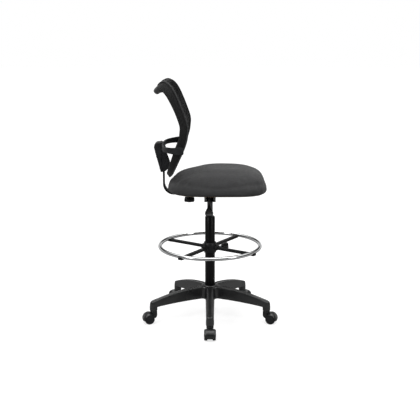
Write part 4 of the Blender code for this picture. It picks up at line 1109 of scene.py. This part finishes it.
def back_mesh():
    """The stretched back as two families of slanting strands, each passing over and under the other."""
    cells, grid, over = 96, 48, 0.0005
    points, lines = [], []
    table = [[panel_point(2 * i / grid - 1, j / grid) for i in range(grid + 1)] for j in range(grid + 1)]

    def laid(i, j, lift):
        x, y = i * grid / cells, j * grid / cells
        a, b = min(int(x), grid - 1), min(int(y), grid - 1)
        f, g = x - a, y - b
        top = table[b][a] * (1 - f) + table[b][a + 1] * f
        low = table[b + 1][a] * (1 - f) + table[b + 1][a + 1] * f
        across, down = table[b][a + 1] - table[b][a], table[b + 1][a] - table[b][a]
        return top * (1 - g) + low * g + across.cross(down).normalized() * lift

    for slant in (0, 1):
        for start in range(-cells, cells + 1, 2):
            run = []
            for j in range(cells + 1):
                i = start + cells - j if slant else start + j
                if 0 <= i <= cells:
                    run.append(laid(i, j, over if (j + slant) % 2 else -over))
            if len(run) > 1:
                first = len(points)
                points += run
                lines += [(first + k, first + k + 1) for k in range(len(run) - 1)]
    guide = bpy.data.meshes.new("back_net")
    guide.from_pydata(points, lines, [])
    # Drawn about three times as thick as knitted strands are, so that they show.
    strand = {"Strand radius": 0.00105, "Sides": 4}
    net = grown("back_net", "backrest", "mesh_cloth", guide, STRANDS, strand, flat=False)
    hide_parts("back_mesh")
    # The welt that holds the net's cut edge in the frame's groove.
    rounds = [TOP_CORNER + (LOW_CORNER - TOP_CORNER) * k / 60 for k in range(61)]
    top = [TOP_CORNER * (k / 30 - 1) for k in range(60)]
    low = [LAST - (LAST - LOW_CORNER) * abs(1 - k / 30) for k in range(1, 60)]
    low = [t if k < 30 else -t for k, t in enumerate(low)]
    stations = top + rounds + low[:29] + [LAST] + low[30:] + [-t for t in rounds[:0:-1]]
    line = [at_rim(t, NET_INSET, -1.0) for t in stations]
    welt = piece("back_welt", "backrest", "mesh_cloth", [cord_round(line, 0.0020)])


# ---------------------------------------------------------------- seat


SEAT_LOW, SEAT_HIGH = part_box("seat_cover")
SEAT_BASE, SEAT_CROWN = SEAT_LOW.z, SEAT_HIGH.z
SEAT_FRONT, SEAT_REAR = SEAT_LOW.y, SEAT_HIGH.y
SEAT_HALF = (SEAT_HIGH.x - SEAT_LOW.x) / 2
# The cushion's outline by its share of the height: drawn in at its front, rear and sides.
SEAT_ROWS = (
    (0, 0.022, 0.022, 0.022), (0.03, 0.008, 0.008, 0.008), (0.12, 0.002, 0.002, 0.002), (0.28, 0, 0, 0),
    (0.43, 0.009, 0.012, 0.009), (0.55, 0.017, 0.031, 0.024), (0.66, 0.026, 0.060, 0.043),
    (0.76, 0.039, 0.096, 0.067), (0.84, 0.056, 0.129, 0.093), (0.92, 0.075, 0.160, 0.118),
    (0.97, 0.093, 0.190, 0.142), (0.993, 0.111, 0.221, 0.166), (1, 0.130, 0.253, 0.191),
)


def seat_ring(front, rear, side, z, count=120):
    half_x = SEAT_HALF - side
    middle = (SEAT_REAR - rear + SEAT_FRONT + front) / 2
    half_y = SEAT_REAR - rear - middle
    points = []
    for i in range(count):
        a = math.tau * i / count
        c, s = math.cos(a), math.sin(a)
        power = 2 / 4.2 if s < 0 else 2 / 3.2
        x = half_x * math.copysign(abs(c) ** power, c)
        points.append(Vector((x, middle + half_y * math.copysign(abs(s) ** power, s), z)))
    return points


VOXEL, SWELL_MOST, SWELL_FRAMES, CALM_ROUNDS = 0.0065, 0.007, 20, 7
# Heights above the seat's base: hem fold, boxing seam, the shoulder over it, and where the crown starts.
HEM_LEVEL, SEAM_LEVEL, SHOULDER_LEVEL, CROWN_LEVEL = 0.020, 0.046, 0.070, 0.075


def hump(x, middle, width):
    """A smooth rise to 1 at middle."""
    return math.exp(-(((x - middle) / width) ** 2))


def swollen(mesh, most):
    """The cushion's cloth under air pressure, held at its base, moving no point further than most."""
    obj = in_scene("cushion_start", mesh)
    held = obj.vertex_groups.new(name="held")
    held.add([v.index for v in mesh.vertices if v.co.z < SEAT_BASE + 0.010], 1.0, "REPLACE")
    cloth = obj.modifiers.new("cloth", "CLOTH")
    settings = cloth.settings
    settings.quality = 6
    settings.mass = 0.35
    settings.tension_stiffness = 14
    settings.compression_stiffness = 14
    settings.shear_stiffness = 6
    settings.bending_stiffness = 0.6
    settings.use_pressure = True
    settings.uniform_pressure_force = 4.0
    settings.vertex_group_mass = "held"
    settings.effector_weights.gravity = 0
    cloth.collision_settings.use_collision = False
    cloth.point_cache.frame_start, cloth.point_cache.frame_end = 1, SWELL_FRAMES
    start = [v.co.copy() for v in mesh.vertices]
    for number in range(1, SWELL_FRAMES + 1):
        bpy.context.scene.frame_set(number)
    done = plain(obj)
    bpy.context.scene.frame_set(1)
    bpy.data.objects.remove(obj)
    for vert, before in zip(done.vertices, start):
        move = vert.co - before
        vert.co = before + move * min(1, most / max(move.length, 1e-9))
    return done


def cushion():
    rise, tuck = SEAT_CROWN - SEAT_BASE, 0.004
    rings = [
        seat_ring(front + tuck, rear + tuck, side + tuck, SEAT_BASE + (rise - tuck) * share)
        for share, front, rear, side in SEAT_ROWS
    ]
    front, rear, side = SEAT_ROWS[-1][1:]
    half_x, half_y = SEAT_HALF - side, (SEAT_REAR - SEAT_FRONT - front - rear) / 2
    for share in (0.8, 0.55, 0.3):
        left = 1 - share
        level = SEAT_CROWN - tuck + 0.0012 * left
        rings.append(seat_ring(front + half_y * left, rear + half_y * left, side + half_x * left, level))
    points, faces = loft(rings)
    form = bpy.data.meshes.new("cushion_form")
    form.from_pydata(points, [], faces)
    holder = in_scene("cushion_form", form)
    remesh = holder.modifiers.new("even", "REMESH")
    remesh.mode, remesh.voxel_size = "VOXEL", VOXEL
    form = plain(holder)
    bpy.data.objects.remove(holder)
    form = swollen(form, SWELL_MOST)
    calm = bmesh.new()
    calm.from_mesh(form)
    axes = {"use_axis_x": True, "use_axis_y": True, "use_axis_z": True}
    for _ in range(CALM_ROUNDS):
        bmesh.ops.smooth_vert(calm, verts=calm.verts, factor=0.5, **axes)
    calm.to_mesh(form)
    calm.free()
    # After the swelling: the boxing seam drawn in round the sides, the shoulder over it and the hem's fold
    # below it, then the crown domed and its front let down.
    middle = Vector((0, (SEAT_REAR + SEAT_FRONT) / 2, 0))
    inside = (SEAT_HALF, SEAT_REAR - middle.y)
    for vert in form.vertices:
        p = vert.co
        out = Vector((p.x / SEAT_HALF, (p.y - middle.y) / (SEAT_REAR - middle.y), 0))
        rim = blend_in((out.length - 0.72) / 0.2)
        way = out.normalized() if out.length > 1e-6 else Vector((0, 0, 0))
        around = math.atan2(p.y - middle.y, p.x)
        level = p.z - SEAT_BASE - 0.006 * math.cos(4 * around + math.pi)
        ripple = math.sin(23 * around) + 0.6 * math.sin(37 * around + 1.3)
        pull = 0.0040 * hump(level, SEAM_LEVEL, 0.0090) - 0.0016 * hump(level, SHOULDER_LEVEL, 0.012)
        pull += 0.0004 * ripple * hump(level, HEM_LEVEL, 0.012)
        vert.co = p - way * pull * rim
        along = (p.y - middle.y) / (SEAT_REAR - middle.y)
        dome = 0.0040 * hump(along, -0.05, 0.42) - 0.0040 * blend_in((-along - 0.30) / 0.45)
        vert.co.z += dome * blend_in((level - CROWN_LEVEL) / 0.030)
        vert.co.z = max(vert.co.z, SEAT_BASE)
        vert.co.x = min(max(vert.co.x, -inside[0]), inside[0])
        vert.co.y = min(max(vert.co.y, middle.y - inside[1]), middle.y + inside[1])
        vert.co.z = min(vert.co.z, SEAT_CROWN + 0.0025)
    holder = in_scene("seat_cushion", form)
    finer = holder.modifiers.new("finer", "SUBSURF")
    finer.levels = finer.render_levels = 1
    mesh = settle(holder)
    # The cloth is laid from the crown's middle, straight down over the sides.
    weave = mesh.attributes.new("weave", "FLOAT_VECTOR", "POINT")
    for row, vert in zip(weave.data, mesh.vertices):
        p = vert.co
        out = Vector((p.x, p.y - middle.y, 0))
        way = out.normalized() if out.length > 1e-6 else out
        row.vector = Vector((p.x, p.y, 0)) + way * (SEAT_CROWN - p.z) * blend_in((out.length - 0.10) / 0.10)
    mesh.transform(Matrix.Translation(COLUMN))
    mesh.shade_smooth()
    finished(holder, "seat", "seat_cloth", ["seat_cover", "seat_foam"])


def hem_and_staples():
    """Under the seat, the cloth's edge turned in over the board and stapled down."""
    board_low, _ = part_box("seat_board")
    z = board_low.z - 0.0003
    lines = [(0.024, 0.0014), (0.030, 0.0), (0.046, 0.0), (0.052, 0.0001), (0.0525, 0.0009), (0.046, 0.0011)]
    rings = [seat_ring(inset, inset, inset, z + lift) for inset, lift in lines]
    weave = [Vector((p.x, p.y, 0)) for ring in rings for p in ring]
    piece("seat_hem", "seat", "seat_cloth", [loft(rings, round_again=True)], weave=weave)
    line = seat_ring(0.040, 0.040, 0.040, z - 0.0001, 720)
    places, gone = [], 0.0
    for before, point in zip(line, line[1:]):
        gone += (point - before).length
        if gone > 0.024:
            gone = 0.0
            way = point - before
            places.append((point, (0, 0, math.atan2(way.y, way.x) + 0.5 * math.sin(len(places) * 2.4)), (1, 1, 1)))
    wire = rounded_bar(0.0009, 0.0006, 0.0002, 2)
    crown = [Vector((x, 0, z)) for x, z in ((-0.0052, 0.0012), (-0.0050, 0), (0.0050, 0), (0.0052, 0.0012))]
    staple = sweep(crown, wire, Vector((0, 1, 0)))
    set_out("seat_staples", "seat", "zinc_steel", staple, places)


# ---------------------------------------------------------------- frame nodes that stay


KEPT = {
    "mechanism_paint": ["mechanism_housing", "seat_plate", "bar_bracket"],
    "plywood": ["seat_board"],
    "zinc_steel": ["thrust_bearing", "retaining_clip", "piston_rod", "release_pin"]
    + [f"plate_bolt_{n}" for n in (1, 2, 3, 4)]
    + [f"caster_{k}_{what}" for k in (1, 2, 3, 4, 5) for what in ("stem", "axle")],
    "acetal": ["ring_clamp_pad", "bar_clamp_pad"],
}


def finish_kept():
    for slot, names in KEPT.items():
        for name in names:
            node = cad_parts[name]
            node.data.materials.clear()
            node.data.materials.append(FINISHES[slot])


# ---------------------------------------------------------------- floor, light and camera


def pale_floor():
    made, tree, shader = new_finish("floor_painted_matt", Roughness=0.9)
    place = add(tree, "ShaderNodeTexCoord").outputs["Object"]
    drift = add(tree, "ShaderNodeTexNoise", {"Vector": place, "Scale": 1.5, "Detail": 2.0})
    tone = ranged(tree, drift.outputs["Fac"], 0, 1)
    # White to look at, but it throws back less light, so that what faces down stays dark.
    ray = add(tree, "ShaderNodeLightPath").outputs
    seen = mixed(tree, tone, "#a8a8a8", "#acacac")
    for kind, colour in (("Is Glossy Ray", "#8c8c8c"), ("Is Diffuse Ray", "#7e7e7e")):
        seen = add(tree, "ShaderNodeMix", {0: ray[kind], 6: seen, 7: linear(colour)}, data_type="RGBA").outputs[2]
    tree.links.new(seen, shader.inputs["Base Color"])
    # Lit from within like a light table, which leaves only a faint shadow under the chair.
    shader.inputs["Emission Color"].default_value = linear("#ffffff")
    glow = add(tree, "ShaderNodeMath", {0: ray["Is Camera Ray"], 1: 0.64}, operation="MULTIPLY").outputs[0]
    tree.links.new(glow, shader.inputs["Emission Strength"])
    mesh = bpy.data.meshes.new("floor")
    reach = 40
    corners = [(x * reach, y * reach, 0) for x, y in ((-1, -1), (1, -1), (1, 1), (-1, 1))]
    mesh.from_pydata(corners, [], [(0, 1, 2, 3)])
    floor = in_scene("floor", mesh)
    mesh.materials.append(made)


def soft_light(name, place, aim, size, watts):
    lamp = bpy.data.lights.new(name, "AREA")
    lamp.shape, lamp.size, lamp.size_y, lamp.energy = "RECTANGLE", size[0], size[1], watts
    obj = in_scene(name, lamp)
    obj.location = place
    obj.rotation_euler = (Vector(aim) - Vector(place)).to_track_quat("-Z", "Y").to_euler()


OVERHEAD_GLOW = 1.7  # how bright the lamps' ceiling is in reflections, where the backdrop is at most 0.8
CAMERA_AWAY, CAMERA_HEIGHT = 3.61, 1.37
CAMERA_DOWN = math.radians(12.65)  # below level
CAMERA_LENS = 63.43  # millimetres, on a 36 mm sensor


def light_and_camera():
    scene = bpy.context.scene
    scene.view_settings.view_transform = "Standard"
    world = bpy.data.worlds.new("white_studio")
    scene.world = world
    world.use_nodes = True
    # White to look at and as soft light, but dim in reflections, so that black gloss stays black.
    tree = world.node_tree
    tree.nodes["Background"].inputs["Color"].default_value = linear("#ffffff")
    tree.nodes["Background"].inputs["Strength"].default_value = 1.0
    way = add(tree, "ShaderNodeTexCoord").outputs["Generated"]
    way = add(tree, "ShaderNodeSeparateXYZ", {0: way}).outputs
    # The backdrop at +X is lit up to a height, the room is not, and a dark gap lies under the lamps.
    room = ranged(tree, way["X"], 0.03, 0.80, 0.0, 0.6)
    top = ranged(tree, way["Z"], 1, 0.03, 0.20, 0.32)
    room = add(tree, "ShaderNodeMath", {0: room, 1: top}, operation="MULTIPLY").outputs[0]
    glow = ranged(tree, way["Z"], 0, 1, 0.46, 0.84)
    span = add(tree, "ShaderNodeMath", {0: OVERHEAD_GLOW, 1: room}, operation="SUBTRACT").outputs[0]
    glow = add(tree, "ShaderNodeMath", {0: glow, 1: span, 2: room}, operation="MULTIPLY_ADD").outputs[0]
    dim = add(tree, "ShaderNodeBackground", {"Color": linear("#ffffff"), "Strength": glow})
    ray = add(tree, "ShaderNodeLightPath").outputs["Is Glossy Ray"]
    both = {0: ray, 1: tree.nodes["Background"].outputs[0], 2: dim.outputs[0]}
    both = add(tree, "ShaderNodeMixShader", both).outputs[0]
    tree.links.new(both, tree.nodes["World Output"].inputs["Surface"])
    soft_light("key_left", (-2.4, 2.6, 2.6), (0, 0, 0.7), (1.0, 1.6), 45)
    soft_light("fill_right", (-2.2, -2.8, 2.2), (0, 0, 0.6), (1.0, 1.6), 30)
    soft_light("top", (0.2, 0.0, 4.2), (0, 0, 0.0), (4.0, 4.0), 100)
    eye = bpy.data.cameras.new("camera")
    eye.lens, eye.sensor_width = CAMERA_LENS, 36.0
    eye.clip_end = 200
    camera = in_scene("camera", eye)
    camera.location = (COLUMN.x - CAMERA_AWAY, 0, CAMERA_HEIGHT)
    camera.rotation_euler = (math.radians(90) - CAMERA_DOWN, 0, math.radians(-90))
    scene.camera = camera


base()
casters()
column()
foot_ring()
height_lever()
back_bar()
back_bracket()
back_frame()
back_mesh()
cushion()
hem_and_staples()
finish_kept()
pale_floor()
light_and_camera()
